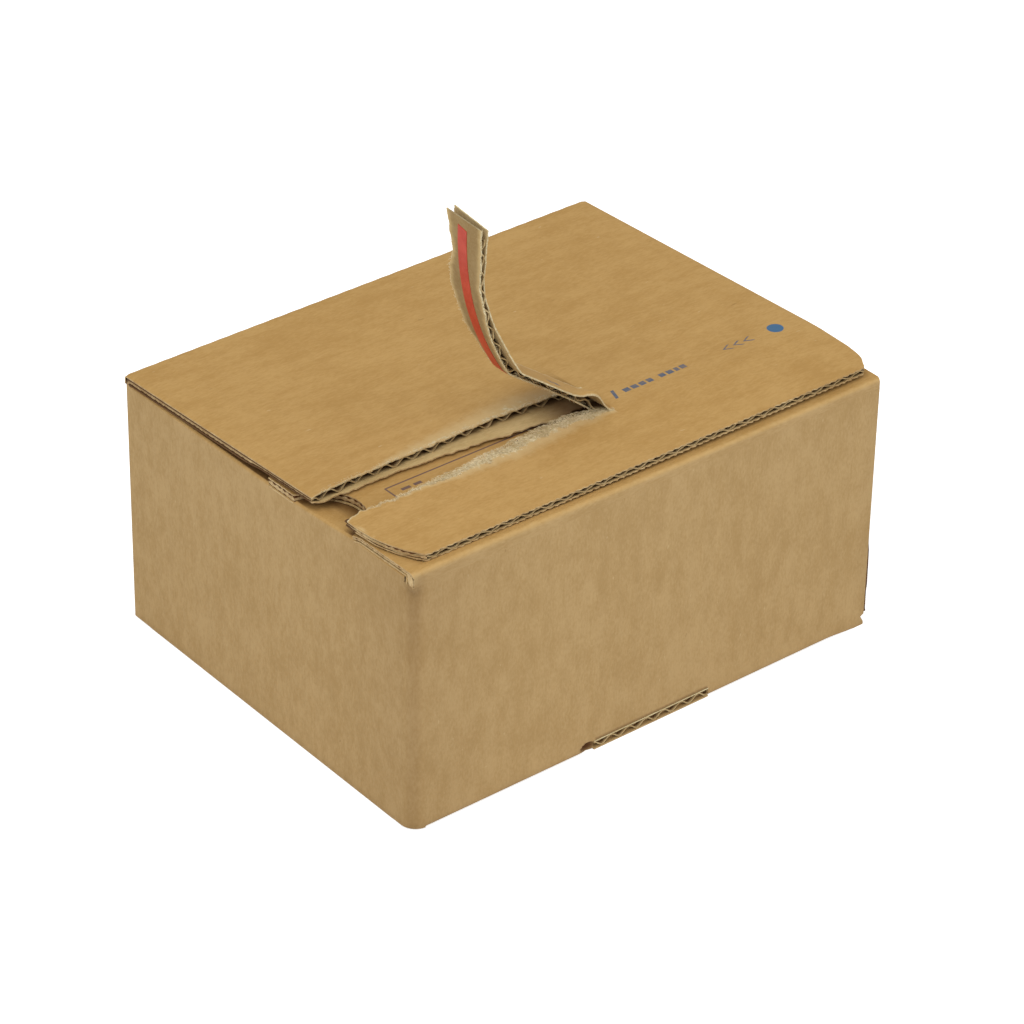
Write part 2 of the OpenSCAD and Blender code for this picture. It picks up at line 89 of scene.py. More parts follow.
FLAP_END_Y = -2.0
FLAP_FOLD_Y = -HALF_D + BOARD
FLAP_FOLD_Z = SIDE_TOP + 1.1
NOTCH_R = 12.8
NOTCH_Y = -HALF_D + 39.3
print("tear line from", round(-LID_HALF, 1), "to", round(ROOT_X, 1), "mm")

# %% Heights of the lid, the band and the front flap
def lid_top(y):
    """Height of the lid's top face, behind the front perforated line."""
    return HINGE_Z + (HINGE_Y - y) * LID_SLOPE + LID_RISE


CREST_Z = lid_top(LINE_FRONT)


def band_top(y):
    """Height of the glued band's top face, in front of that line."""
    return CREST_Z - (LINE_FRONT - y) * BAND_DROOP


def flap_top(y):
    """Height of the top face of the front flap."""
    return HINGE_Z + BOARD + (FLAP_END_Y - y) / (FLAP_END_Y - FLAP_FOLD_Y)


def smooth(t):
    """Eases a share, or an array of shares, from 0 to 1."""
    t = np.clip(t, 0.0, 1.0)
    return t * t * (3 - 2 * t)


print("crest of the lid at", round(CREST_Z, 2), "mm")

# %% [markdown]
# ## Small tools for paper
# Each paper is an open surface first: a grid of points, each with a direction that
# points outwards. A second tool gives it thickness and closes its rim, which then gets
# the paler colour of a cut or torn edge. Marks such as bare, torn paper are stored as
# numbers on the points, so the finish can follow the surface.

# %% Rows of points that form sheets of paper
def wander(x, seed, size):
    """A smooth random wave along x between about -1 and 1, with bumps of that size."""
    return noise.noise(Vector((x / size, seed * 7.31, seed * 3.17))) * 1.6


def stations(start, end, step):
    """Even stations from start to end."""
    count = max(2, int(round(abs(end - start) / step)) + 1)
    return np.linspace(start, end, count)


def grid_of(columns, rows_at, place):
    """Pairs of point and direction in a grid. Rows_at(x) gives the same number of values for each column."""
    return np.array([[place(x, v) for v in rows_at(x)] for x in columns], float)


class Sheet:
    """Grids of surface points that are welded to one sheet of paper."""

    def __init__(self, name):
        self.name = name
        self.points, self.normals, self.faces = [], [], []
        self.marks = {"bare": [], "along": [], "shade": [], "flat": []}
        self.count = 0

    def add(self, pairs, **marks):
        """Adds a grid of (point, direction) pairs, with its marks."""
        pairs = np.asarray(pairs, float)
        rows, cols = pairs.shape[:2]
        index = np.arange(rows * cols).reshape(rows, cols)
        quads = np.stack([index[:-1, :-1], index[:-1, 1:], index[1:, 1:], index[1:, :-1]], -1).reshape(-1, 4)
        flat, facing = pairs[:, :, 0].reshape(-1, 3), pairs[:, :, 1].reshape(-1, 3)
        turn = np.cross(flat[quads[:, 2]] - flat[quads[:, 0]], flat[quads[:, 3]] - flat[quads[:, 1]])
        if (turn * facing[quads[:, 0]]).sum() < 0:
            quads = quads[:, ::-1]
        self.points.append(flat)
        self.normals.append(facing)
        self.faces.append(quads + self.count)
        for key, kept in self.marks.items():
            kept.append(np.asarray(marks.get(key, np.zeros(rows * cols)), float).reshape(-1))
        self.count += rows * cols
        return self

    def welded(self):
        """Points, directions, faces and marks, with shared borders welded."""
        points = np.vstack(self.points)
        _, first, where = np.unique(points.round(4), axis=0, return_index=True, return_inverse=True)
        faces = where.reshape(-1)[np.vstack(self.faces)]
        faces = faces[np.array([len(set(face)) == 4 for face in faces.tolist()])]
        marks = {key: np.concatenate(value)[first] for key, value in self.marks.items()}
        normals = np.vstack(self.normals)[first]
        # Painted light from above: this share grows as a face turns up, and gives it the warm brown.
        marks["top_light"] = smooth((normals[:, 2] - 0.3) / 0.5)
        return points[first], normals, faces, marks


print("sheet maker ready")


# %% Solid papers made from those sheets
def add_object(name, mesh, sharp=40):
    """Shades a mesh smooth, apart from edges sharper than an angle, and adds it to the scene."""
    mesh.shade_smooth()
    mesh.set_sharp_from_angle(angle=math.radians(sharp))
    mesh.update()
    piece = bpy.data.objects.new(name, mesh)
    bpy.context.scene.collection.objects.link(piece)
    return piece


def build_mesh(name, points, faces, materials, slots=None, marks=None, sharp=40):
    """Makes an object at the origin from points in millimetres."""
    mesh = bpy.data.meshes.new(name)
    mesh.from_pydata((np.asarray(points) * MM).tolist(), [], [[int(i) for i in f] for f in faces])
    for material in materials:
        mesh.materials.append(material)
    if slots is not None:
        mesh.polygons.foreach_set("material_index", np.asarray(slots, dtype=np.int32))
    for key, values in (marks or {}).items():
        layer = mesh.attributes.new(key, "FLOAT", "POINT")
        layer.data.foreach_set("value", np.asarray(values, dtype=np.float32))
    return add_object(name, mesh, sharp)


def thicken(sheet, materials, thickness=LINER, sharp=40):
    """Gives a sheet its thickness and closes its rim. The materials are those of face, rim and back."""
    points, normals, faces, marks = sheet.welded()
    count = len(points)
    inner = points - normals * thickness
    edges = np.stack([faces, np.roll(faces, -1, axis=1)], -1).reshape(-1, 2)
    _, back, uses = np.unique(np.sort(edges, axis=1), axis=0, return_inverse=True, return_counts=True)
    rim = edges[uses[back.reshape(-1)] == 1]
    sides = np.stack([rim[:, 1], rim[:, 0], rim[:, 0] + count, rim[:, 1] + count], -1)
    every = np.vstack([faces, faces[:, ::-1] + count, sides])
    slots = np.concatenate([np.zeros(len(faces)), np.full(len(faces), 2), np.ones(len(sides))])
    marks = {key: np.tile(value, 2) for key, value in marks.items() if key not in ("along", "flat")}
    return build_mesh(sheet.name, np.vstack([points, inner]), every, materials, slots, marks, sharp)


def finish_piece(piece):
    """Joins a piece to the box's body and says what was made."""
    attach(piece, "root")
    triangles = sum(len(p.vertices) - 2 for p in piece.data.polygons)
    print(piece.name, "with", triangles, "triangles")


# %% [markdown]
# ## Finishes
# Kraft paper is long brown fibres pressed flat. Up close it has a fine grain, soft
# mottles and small pale and dark specks. One node group holds that pattern, and each
# finish places it with its own colours. Numbers stored on the points steer the rest.
# One grows as a face turns up and paints light from above: such faces get a warm brown
# and upright ones a greyer brown, partly also a difference in the paper. "bare" fades
# to peeled and then torn, woolly paper, and "shade" paints shade into deep cavities,
# creases and gaps, and carries a few dark specks on cut edges.

# %% Helpers for nodes
def put(socket, value):
    """Links a socket to another, or sets its value."""
    if isinstance(value, bpy.types.NodeSocket):
        socket.id_data.links.new(value, socket)
    elif value is not None:
        socket.default_value = value


def add_node(tree, kind, inputs=None, **settings):
    """Adds a node with its settings, fills its inputs and hands back its outputs."""
    node = tree.nodes.new(kind)
    for key, value in settings.items():
        setattr(node, key, value)
    for key, value in (inputs or {}).items():
        put(node.inputs[key], value)
    return node.outputs


def new_group(name, kind, **sockets):
    """Starts a node group. Sockets holds two lists of (label, type) pairs: those that go in and come out."""
    tree = bpy.data.node_groups.new(name, kind)
    for way in ("input", "output"):
        for label, content in sockets[way]:
            tree.interface.new_socket(label, in_out=way.upper(), socket_type="NodeSocket" + content)
    return tree, tree.nodes.new("NodeGroupInput").outputs, tree.nodes.new("NodeGroupOutput").inputs


def math_node(tree, operation, *values):
    return add_node(tree, "ShaderNodeMath", dict(enumerate(values)), operation=operation)[0]


def plus(tree, a, b):
    return math_node(tree, "ADD", a, b)


def minus(tree, a, b):
    return math_node(tree, "SUBTRACT", a, b)


def times(tree, a, b):
    return math_node(tree, "MULTIPLY", a, b)


def mix_colour(tree, factor, a, b):
    return add_node(tree, "ShaderNodeMix", {0: factor, 6: a, 7: b}, data_type="RGBA")[2]


def noise_node(tree, vector, scale, detail=3.0, rough=0.55):
    inputs = {"Vector": vector, "Scale": scale, "Detail": detail, "Roughness": rough}
    return add_node(tree, "ShaderNodeTexNoise", inputs)["Fac"]


def spread(tree, value, low_in, high_in):
    """Maps a value to 0 to 1 between two limits."""
    inputs = {"Value": value, "From Min": low_in, "From Max": high_in}
    return add_node(tree, "ShaderNodeMapRange", inputs, interpolation_type="SMOOTHSTEP")["Result"]


def new_material(name):
    """Starts a material, and hands back its tree and its shader's inputs too."""
    material = bpy.data.materials.new(name)
    material.use_nodes = True
    return material, material.node_tree, material.node_tree.nodes["Principled BSDF"].inputs


def surface(tree, shader, roughness, bump, height):
    """Sets how rough a finish is, and its relief."""
    put(shader["Roughness"], roughness)
    inputs = {"Strength": bump, "Distance": 0.2 * MM, "Height": height}
    put(shader["Normal"], add_node(tree, "ShaderNodeBump", inputs)[0])


def srgb(r, g, b):
    """A colour given as screen values, from 0 to 255, in the linear form that shaders use."""
    def line(v):
        v /= 255
        return v / 12.92 if v <= 0.04045 else ((v + 0.055) / 1.055) ** 2.4
    return (line(r), line(g), line(b), 1.0)


print("node helpers ready")

# %% Group: the pattern of kraft paper
def pattern_group():
    """Grain, mottles and specks on Object coordinates. Stretch is small along the fibres."""
    tree, given, result = new_group(
        "Kraft pattern", "ShaderNodeTree", input=[("Vector", "Vector"), ("Stretch", "Vector")],
        output=[(label, "Float") for label in ("Pattern", "Pale specks", "Dark specks", "Height")])
    along = add_node(tree, "ShaderNodeVectorMath", {0: given["Vector"], 1: given["Stretch"]},
                     operation="MULTIPLY")[0]
    grain = times(tree, noise_node(tree, along, 1500.0, 3.0, 0.6), 0.38)
    mottles = times(tree, noise_node(tree, along, 240.0, 4.0, 0.6), 0.38)
    clouds = times(tree, noise_node(tree, given["Vector"], 42.0, 3.0, 0.55), 0.24)
    fine = plus(tree, grain, mottles)
    put(result["Pattern"], plus(tree, fine, clouds))
    put(result["Pale specks"], spread(tree, noise_node(tree, along, 900.0, 1.0), 0.77, 0.84))
    put(result["Dark specks"], spread(tree, noise_node(tree, along, 760.0, 1.0), 0.23, 0.17))
    put(result["Height"], fine)
    return tree


PATTERN = pattern_group()
print("group", PATTERN.name)


# %% Group: peeled and torn paper
def torn_group():
    """Peeled and woolly masks from the attribute bare, broken up by noise, and the wool's height."""
    tree, given, result = new_group(
        "Torn paper", "ShaderNodeTree", input=[("Vector", "Vector"), ("Bare", "Float")],
        output=[(label, "Float") for label in ("Peeled", "Woolly", "Curls", "Height")])
    ragged = minus(tree, noise_node(tree, given["Vector"], 620.0, 5.0, 0.65), 0.5)
    put(result["Peeled"], spread(tree, plus(tree, given["Bare"], times(tree, ragged, 0.5)), 0.0, 0.75))
    woolly = spread(tree, plus(tree, given["Bare"], times(tree, ragged, 1.2)), 0.7, 0.95)
    put(result["Woolly"], woolly)
    curls = noise_node(tree, given["Vector"], 1500.0, 4.0, 0.7)
    put(result["Curls"], spread(tree, curls, 0.3, 0.7))
    put(result["Height"], times(tree, woolly, curls))
    return tree


TORN_PAPER = torn_group()
print("group", TORN_PAPER.name)


# %% The papers of the board
def object_place(tree):
    return add_node(tree, "ShaderNodeTexCoord")["Object"]


def attribute(tree, name):
    """Reads one of the numbers stored on the points."""
    return add_node(tree, "ShaderNodeAttribute", attribute_name=name)["Fac"]


def blend(tree, mask, share, a, b):
    """Mixes two colours by a mask and a share."""
    return mix_colour(tree, times(tree, mask, share), a, b)


def kraft(name, warm, grey=None, fibres=(1, 1, 1), ink=None, bump=0.2):
    """Kraft paper. Warm and grey are pairs of a light and a dark brown. With grey given, faces that look up
    take warm and upright faces take grey: painted light from above, partly also a difference in the paper.
    """
    material, tree, shader = new_material(name)
    place = object_place(tree)
    paper = add_node(tree, "ShaderNodeGroup", {"Vector": place, "Stretch": fibres}, node_tree=PATTERN)
    amount = spread(tree, paper["Pattern"], 0.36, 0.64)
    colour = mix_colour(tree, amount, warm[1], warm[0])
    if grey:
        colour = mix_colour(tree, attribute(tree, "top_light"), mix_colour(tree, amount, grey[1], grey[0]), colour)
    colour = blend(tree, paper["Pale specks"], 0.35, colour, PALE)
    colour = blend(tree, paper["Dark specks"], 0.3, colour, SPECK)
    if ink:
        colour = ink(tree, place, colour, paper["Pattern"])
    inputs = {"Vector": place, "Bare": attribute(tree, "bare")}
    torn = add_node(tree, "ShaderNodeGroup", inputs, node_tree=TORN_PAPER)
    colour = blend(tree, torn["Peeled"], 0.75, colour, PEELED)
    colour = blend(tree, torn["Woolly"], 0.9, colour, mix_colour(tree, torn["Curls"], WOOL_DARK, WOOL_PALE))
    # Painted shade: the shade mark mixes the colour towards a dark brown.
    put(shader["Base Color"], mix_colour(tree, attribute(tree, "shade"), colour, PAINTED_SHADE))
    put(shader["Specular IOR Level"], 0.2)
    surface(tree, shader, 0.8, bump, plus(tree, paper["Height"], times(tree, torn["Height"], 2.0)))
    return material


# Painted light from above: the warm pair is for faces that look up, the greyer pair for upright ones; partly
# also a difference in the paper.
TOP_LIT_WARM = srgb(190, 152, 93), srgb(176, 137, 78)
SIDE_LIT_GREY = srgb(184, 154, 107), srgb(169, 138, 90)
PALE = srgb(212, 190, 148)
SPECK = srgb(120, 88, 50)
PEELED = srgb(202, 174, 124)
WOOL_DARK = srgb(176, 156, 112)
WOOL_PALE = srgb(224, 212, 176)
# Dark brown of painted shade in cavities, creases and gaps.
PAINTED_SHADE = srgb(80, 46, 15)
print("finish maker ready")

# %% [markdown]
# The lid is printed in blue ink, along the strip: a dot where the strip would end,
# chevrons that point to the tear, and a line of plain bars. The print is drawn by
# simple masks in the finish itself, so it soaks into the fibres instead of lying on
# top. The same way puts a thin outlined box on the front flap.

# %% Masks for the print
def between(tree, value, lo, hi, soft=0.12):
    """1 where a value lies between two limits, which are in millimetres like all sizes of the print."""
    up = spread(tree, value, (lo - soft) * MM, (lo + soft) * MM)
    return times(tree, up, spread(tree, value, (hi + soft) * MM, (hi - soft) * MM))


def bar(tree, x, y, x0, x1, y0, y1, lean=0.0):
    """A bar between two corners, which may lean to the right."""
    skew = times(tree, minus(tree, y, (y0 + y1) / 2 * MM), -lean)
    return times(tree, between(tree, plus(tree, x, skew), x0, x1), between(tree, y, y0, y1))


def bars(tree, x, y, lengths, y0, y1):
    """A line of bars, each given by its start and its length."""
    return [bar(tree, x, y, start, start + length, y0, y1) for start, length in lengths]


def chevron(tree, x, y, tip, middle, half, weight):
    """A thin arrow head that points to the left."""
    rise = math_node(tree, "ABSOLUTE", minus(tree, y, middle * MM))
    stroke = between(tree, minus(tree, x, times(tree, rise, 1.9)), tip, tip + weight, 0.1)
    return times(tree, stroke, spread(tree, rise, (half + 0.1) * MM, (half - 0.1) * MM))


def dot(tree, x, y, cx, cy, radius):
    """A round dot."""
    squares = [math_node(tree, "POWER", minus(tree, value, centre * MM), 2.0)
               for value, centre in ((x, cx), (y, cy))]
    far = math_node(tree, "SQRT", plus(tree, *squares))
    return spread(tree, far, (radius + 0.12) * MM, (radius - 0.12) * MM)


def merge(tree, masks):
    """The strongest of several masks."""
    result = masks[0]
    for mask in masks[1:]:
        result = math_node(tree, "MAXIMUM", result, mask)
    return result


print("masks ready")


# %% Print on the lid and on the flap
PRINT_Y = -31.8
LID_BARS = [(-10.4, 1.5), (-8.2, 1.8), (17.0, 2.2), (19.9, 2.2), (22.8, 2.0), (25.5, 2.0), (30.0, 2.0),
            (32.7, 2.2), (35.6, 1.4), (37.6, 2.0)]
FRAME_X, FRAME_END, FRAME_REAR, FRAME_FRONT, FRAME_HALF = -61.9, 2.0, -26.3, -31.8, 0.27
FLAP_BARS = [(-58.6, 3.0), (-54.4, 2.6), (-19.6, 2.0), (-16.4, 3.2), (-11.6, 1.6)]


def lid_print(tree, place, colour, pattern):
    x, y, _ = add_node(tree, "ShaderNodeSeparateXYZ", {0: place})
    masks = [bar(tree, x, y, 13.2, 14.3, PRINT_Y - 2.2, PRINT_Y + 2.2, 0.35)]
    masks += bars(tree, x, y, LID_BARS, PRINT_Y - 1.0, PRINT_Y + 0.9)
    masks += [chevron(tree, x, y, tip, PRINT_Y, 1.35, 1.0) for tip in (53.4, 57.2, 61.0)]
    worn = math_node(tree, "MULTIPLY_ADD", spread(tree, pattern, 0.4, 0.55), 0.25, 0.65)
    colour = blend(tree, merge(tree, masks), worn, colour, srgb(66, 88, 112))
    return blend(tree, dot(tree, x, y, 73.2, PRINT_Y, 2.45), 0.95, colour, srgb(54, 102, 140))


def flap_print(tree, place, colour, pattern):
    x, y, _ = add_node(tree, "ShaderNodeSeparateXYZ", {0: place})
    masks = [bar(tree, x, y, FRAME_X, FRAME_END, line - FRAME_HALF, line + FRAME_HALF)
             for line in (FRAME_REAR, FRAME_FRONT)]
    masks.append(bar(tree, x, y, FRAME_X - FRAME_HALF, FRAME_X + FRAME_HALF,
                     FRAME_FRONT - 0.2, FRAME_REAR + 0.2))
    masks += bars(tree, x, y, FLAP_BARS, -29.9, -28.7)
    return blend(tree, merge(tree, masks), 0.8, colour, srgb(84, 68, 78))


ACROSS, UPRIGHT = (0.35, 1.0, 1.0), (1.0, 1.0, 0.45)
lid_paper = kraft("lid_paper", TOP_LIT_WARM, SIDE_LIT_GREY, ACROSS, lid_print)
flap_paper = kraft("flap_paper", TOP_LIT_WARM, SIDE_LIT_GREY, ACROSS, flap_print)
wall_paper = kraft("wall_paper", TOP_LIT_WARM, SIDE_LIT_GREY, UPRIGHT)
# Painted shade: a dark copy of the paper for the insides of the board and of the box.
shaded_cavity_paper = kraft("shaded_cavity_paper", (srgb(92, 64, 34), srgb(70, 46, 22)), fibres=ACROSS)
inner_paper = kraft("inner_paper", (srgb(204, 178, 126), srgb(184, 156, 104)), fibres=ACROSS)
medium_paper = kraft("medium_paper", (srgb(198, 176, 132), srgb(172, 146, 100)))
cut_paper = kraft("cut_paper", (srgb(206, 180, 134), srgb(164, 132, 88)), bump=0.4)
torn_paper = kraft("torn_paper", (srgb(222, 208, 168), srgb(186, 164, 118)), bump=0.5)
print("papers:", ", ".join(m.name for m in bpy.data.materials if m.name.endswith("paper")))

# %% [markdown]
# ## The lid's outer liner
# The strip tore a gap into the left half of the lid, so the liner is three grids that
# share their borders: the lid behind the tear, the glued band in front of it, and the
# right half that is still whole. The columns run front to back, like the flutes, and
# a very slight washboard follows them.

# %% The ragged lines of the tear
OUTER_TEAR = [(0, 0), (0.06, -0.5), (0.18, -1.1), (0.41, -1.3), (0.7, -2), (0.88, -1.2), (1, 0)]
INNER_TEAR = [(0, 0), (0.07, 0.2), (0.32, 0.6), (0.5, 1.8), (0.66, 3.7), (0.87, 6.3), (1, 5.6)]
BAND_TEAR = [(0, 0), (0.06, 1.2), (0.14, 0.6), (0.28, 1.4), (0.38, 1.1), (0.48, 1.9), (0.64, 3), (0.72, 3.5),
             (0.88, 4.2), (1, 0)]


def tear_line(x, pairs, seed, fine):
    """Distance along y given by a list of (share of the torn length, offset), made ragged."""
    base = np.interp((x + LID_HALF) / TORN, *zip(*pairs))
    fade = smooth((x + LID_HALF) / 4) * smooth((ROOT_X - x) / 3)
    rough = wander(x, seed, 2.6) * fine + wander(x, seed + 1, 0.9) * fine * 0.6
    return base + rough * fade


def outer_tear_y(x):
    return LINE_REAR - tear_line(x, OUTER_TEAR, 1, 0.35)


def inner_tear_y(x):
    return LINE_REAR - tear_line(x, INNER_TEAR, 4, 0.45)


def medium_tear_y(x):
    own = tear_line(x, OUTER_TEAR, 7, 0.0)
    fade = smooth((x + LID_HALF) / 6) * smooth((ROOT_X - x) / 3)
    return LINE_REAR - own + (0.35 + 0.5 * wander(x, 8, 3.5)) * fade


def band_tear_y(x):
    return LINE_FRONT + tear_line(x, BAND_TEAR, 11, 0.5)


def zigzag(x, height):
    """The line that a serrated knife cuts."""
    return height * (abs((x / TOOTH) % 1 - 0.5) * 4 - 1)


def band_edge_y(x):
    """Free edge of the band, with a wide round corner on the left and a small one on the right."""
    radius, reach = (LEFT_ARC, LEFT_REACH) if x < 0 else (RIGHT_ARC, RIGHT_REACH)
    inset = max(abs(x) - (LID_HALF - radius), 0.0)
    return FREE_Y + max(reach - math.sqrt(max(radius ** 2 - inset ** 2, 0.0)), 0.0)


print("torn edge at x=0:", round(float(outer_tear_y(0.0)), 2), round(float(inner_tear_y(0.0)), 2))

# %% Where each point of the lid lies
ARC_SPAN = math.radians(90) - math.atan(LID_SLOPE)
FOLD_Y = BOARD - LID_FOLD_R
FOLD_Z = LID_RISE - FOLD_Y * LID_SLOPE - LID_FOLD_R / math.cos(math.atan(LID_SLOPE))
FLAT_RUN = FOLD_Y + LID_FOLD_R * math.cos(ARC_SPAN)
LID_NORMAL = Vector((0, LID_SLOPE, 1)).normalized()
BAND_NORMAL = Vector((0, -BAND_DROOP, 1)).normalized()


def washboard(x):
    return 0.03 * math.cos(2 * math.pi * x / PITCH)


def fold_end(depth):
    """How far the lid runs past its hinge line until it meets the rear wall."""
    return BOARD * ARC_SPAN if depth else FLAT_RUN + LID_FOLD_R * ARC_SPAN + FOLD_Z


def fold_point(run, depth):
    """Height and place of the rear fold. The outer liner is squarer than the papers inside."""
    if depth:
        a, r = ARC_SPAN - run / BOARD, BOARD - depth
        return HINGE_Y + r * math.cos(a), HINGE_Z + r * math.sin(a), (0, math.cos(a), math.sin(a))
    if run < FLAT_RUN:
        return HINGE_Y + run, lid_top(HINGE_Y + run), tuple(LID_NORMAL)
    a = max(ARC_SPAN - (run - FLAT_RUN) / LID_FOLD_R, 0.0)
    drop = max(run - FLAT_RUN - LID_FOLD_R * ARC_SPAN, 0.0)
    y, z = HINGE_Y + FOLD_Y + LID_FOLD_R * math.cos(a), HINGE_Z + FOLD_Z + LID_FOLD_R * math.sin(a) - drop
    return y, z, (0, math.cos(a), math.sin(a))


def lid_point(x, v, depth):
    """A point of the lid, its depth below the top face in mm. Beyond the hinge line v runs round the fold."""
    if v > HINGE_Y:
        y, z, n = fold_point(v - HINGE_Y, depth)
        return (x, y, z), n
    if x >= ROOT_X and LINE_FRONT - 4 < v < LINE_FRONT + 4:
        ease = smooth((LINE_FRONT + 4 - v) / 8)
        z = lid_top(v) * (1 - ease) + min(lid_top(v), band_top(v)) * ease - 0.2 * ease * (1 - ease)
        n = LID_NORMAL.lerp(BAND_NORMAL, ease)
    elif v < LINE_FRONT + 3.6:
        z, n = band_top(v), BAND_NORMAL
    else:
        z, n = lid_top(v), LID_NORMAL
    return (x, v, z - depth), (0, n.y, n.z)


def eased(start, end, count, power):
    """Stations that crowd towards the end."""
    share = 1 - (1 - np.linspace(0, 1, count)) ** power
    return start + (end - start) * share


print("the fold takes", round(fold_end(0.0), 2), "mm of the outer liner")


# %% Lid outer liner
def lid_sheet(name, edges, depth, step, rows, crush, marks, arc_rows=9):
    """The lid as one sheet at a depth below its top face. Edges gives the places along y of its own edge
    behind the gap, of the band's edge at the gap and of the band's free edge, for any x."""
    sheet = Sheet(name)
    rear_edge, band_rear, band_front = edges
    last = HINGE_Y + fold_end(depth)

    def place(x, v):
        (px, py, pz), n = lid_point(x, v, depth)
        lift = (washboard(x) if depth < 1 else -washboard(x)) - crush(x, v)
        return (px, py + n[1] * lift, pz + n[2] * lift), n

    arc = list(stations(last, HINGE_Y, (last - HINGE_Y) / arc_rows))[:-1]

    def rear_rows(x):
        return arc + list(eased(HINGE_Y, rear_edge(x) if x < ROOT_X else LINE_REAR, rows, 2.0))

    def front_rows(x):
        return list(eased(band_rear(x) if x < ROOT_X else LINE_FRONT, band_front(x), rows, 1.0))

    def all_rows(x):
        return rear_rows(x) + list(stations(LINE_REAR, LINE_FRONT, 1.3))[1:-1] + front_rows(x)

    left, right = stations(-LID_HALF, ROOT_X, step), stations(ROOT_X, LID_HALF, step)
    for columns, rows_at in ((left, rear_rows), (left, front_rows), (right, all_rows)):
        grid = grid_of(columns, rows_at, place)
        sheet.add(grid, along=grid[:, :, 0, 0], **marks(*grid[:, :, 0, :2].transpose(2, 0, 1)))
    return sheet


def lid_marks(x, y):
    """Where the brown top ply was torn off beside the tear, where the lid's corner is chafed, and a painted
    shadow of the strip's ramp on the lid near the root.
    """
    behind = np.interp(x, [-83, -62, -45, -10, 2, ROOT_X], [0.2, 0.8, 4.5, 8.0, 6.0, 0.1])
    before = np.interp(x, [-70, -58, -45, -25, -12, 0, ROOT_X], [0.5, 1.5, 3.5, 6.5, 6.5, 5.0, 1.5])
    rear = np.clip(1.2 - (y - np.vectorize(outer_tear_y)(x)) / behind, 0, 1) * (y > -30) * 0.8
    front = np.clip(1.3 - (np.vectorize(band_tear_y)(x) - y) / before, 0, 1) * (y < -30)
    corner = np.clip(1.1 - np.hypot(x + LID_HALF, (y + 43.5) / 1.6) / 1.6, 0, 1)
    # Painted shadow that the strip's ramp casts on the lid.
    under = 0.5 * np.exp(-np.hypot((x - 1) / 12, (y + 18) / 6) ** 2)
    bare = np.maximum(np.where(x < ROOT_X, rear + front, 0), corner)
    return {"bare": bare, "shade": np.where(x < ROOT_X, under, 0)}


def crushed_down(x, v):
    """The knife presses the outer liner down at the lid's side edges."""
    return 0.35 * smooth(1 - (LID_HALF - abs(x)) / 1.6)


outer_edges = (outer_tear_y, band_tear_y, lambda x: band_edge_y(x) + zigzag(x, 0.22))
outer_liner = thicken(
    lid_sheet("lid_outer_liner", outer_edges, 0.0, 0.55, 34, crushed_down, lid_marks),
    [lid_paper, cut_paper, shaded_cavity_paper])
finish_piece(outer_liner)

# %% Lid inner liner
def crushed_up(x, v):
    """How far the inner liner is pressed up: at the sides, and along the band's free edge."""
    strong = 0.95 * smooth((9 - v) / 8) if x < 0 else 0.0
    side = max(0.25, strong) * smooth(1 - (LID_HALF - abs(x)) / 3.0)
    free = 0.8 * smooth(1 - (v - band_edge_y(x)) / 4.5)
    return -max(side, free)


def ledge_marks(x, y):
    """Painted shade on the inner liner where the lid still covers it, inside the band behind its free edge,
    and near the strip's root.
    """
    covered = smooth((y - np.vectorize(medium_tear_y)(x)) / 1.2) * 0.9
    inside = 0.9 * smooth((y - np.vectorize(band_edge_y)(x)) / 0.8)
    root = 0.8 * smooth((x - ROOT_X + 20) / 14)
    return {"shade": np.where((x < ROOT_X) & (y > LINE_FRONT + 8), np.maximum(covered, root), inside)}


inner_edges = (inner_tear_y, lambda x: LINE_FRONT + 0.6, lambda x: band_edge_y(x) + zigzag(x + 1, 0.3))
finish_piece(thicken(
    lid_sheet("lid_inner_liner", inner_edges, BOARD - LINER, 0.8, 24, crushed_up, ledge_marks),
    [inner_paper, cut_paper, inner_paper]))

# %% [markdown]
# ## The wavy medium
# The medium follows a rule: a cosine across the flutes, the same everywhere. So it is
# made by Geometry Nodes. A flat sheet carries a number, "along", that counts the
# millimetres across the flutes. The tree pushes each point up or down by the wave,
# doubles the sheet to the paper's thickness and closes its edges. One tree serves the
# lid, the strip and the flaps, with its own pitch and swing for each.

# %% Geometry Nodes: fluting
def geometry_group(name, *numbers):
    """Starts a geometry tree that takes a mesh, some numbers and a material."""
    values = [(label, "Float") for label in numbers]
    return new_group(name, "GeometryNodeTree", output=[("Geometry", "Geometry")],
                     input=[("Geometry", "Geometry")] + values + [("Material", "Material")])


def end_tree(tree, given, result, geometry):
    """Turns what a tree made into real geometry with its material."""
    real = add_node(tree, "GeometryNodeRealizeInstances", {0: geometry})[0]
    inputs = {"Geometry": real, "Material": given["Material"]}
    put(result[0], add_node(tree, "GeometryNodeSetMaterial", inputs)[0])
    return tree


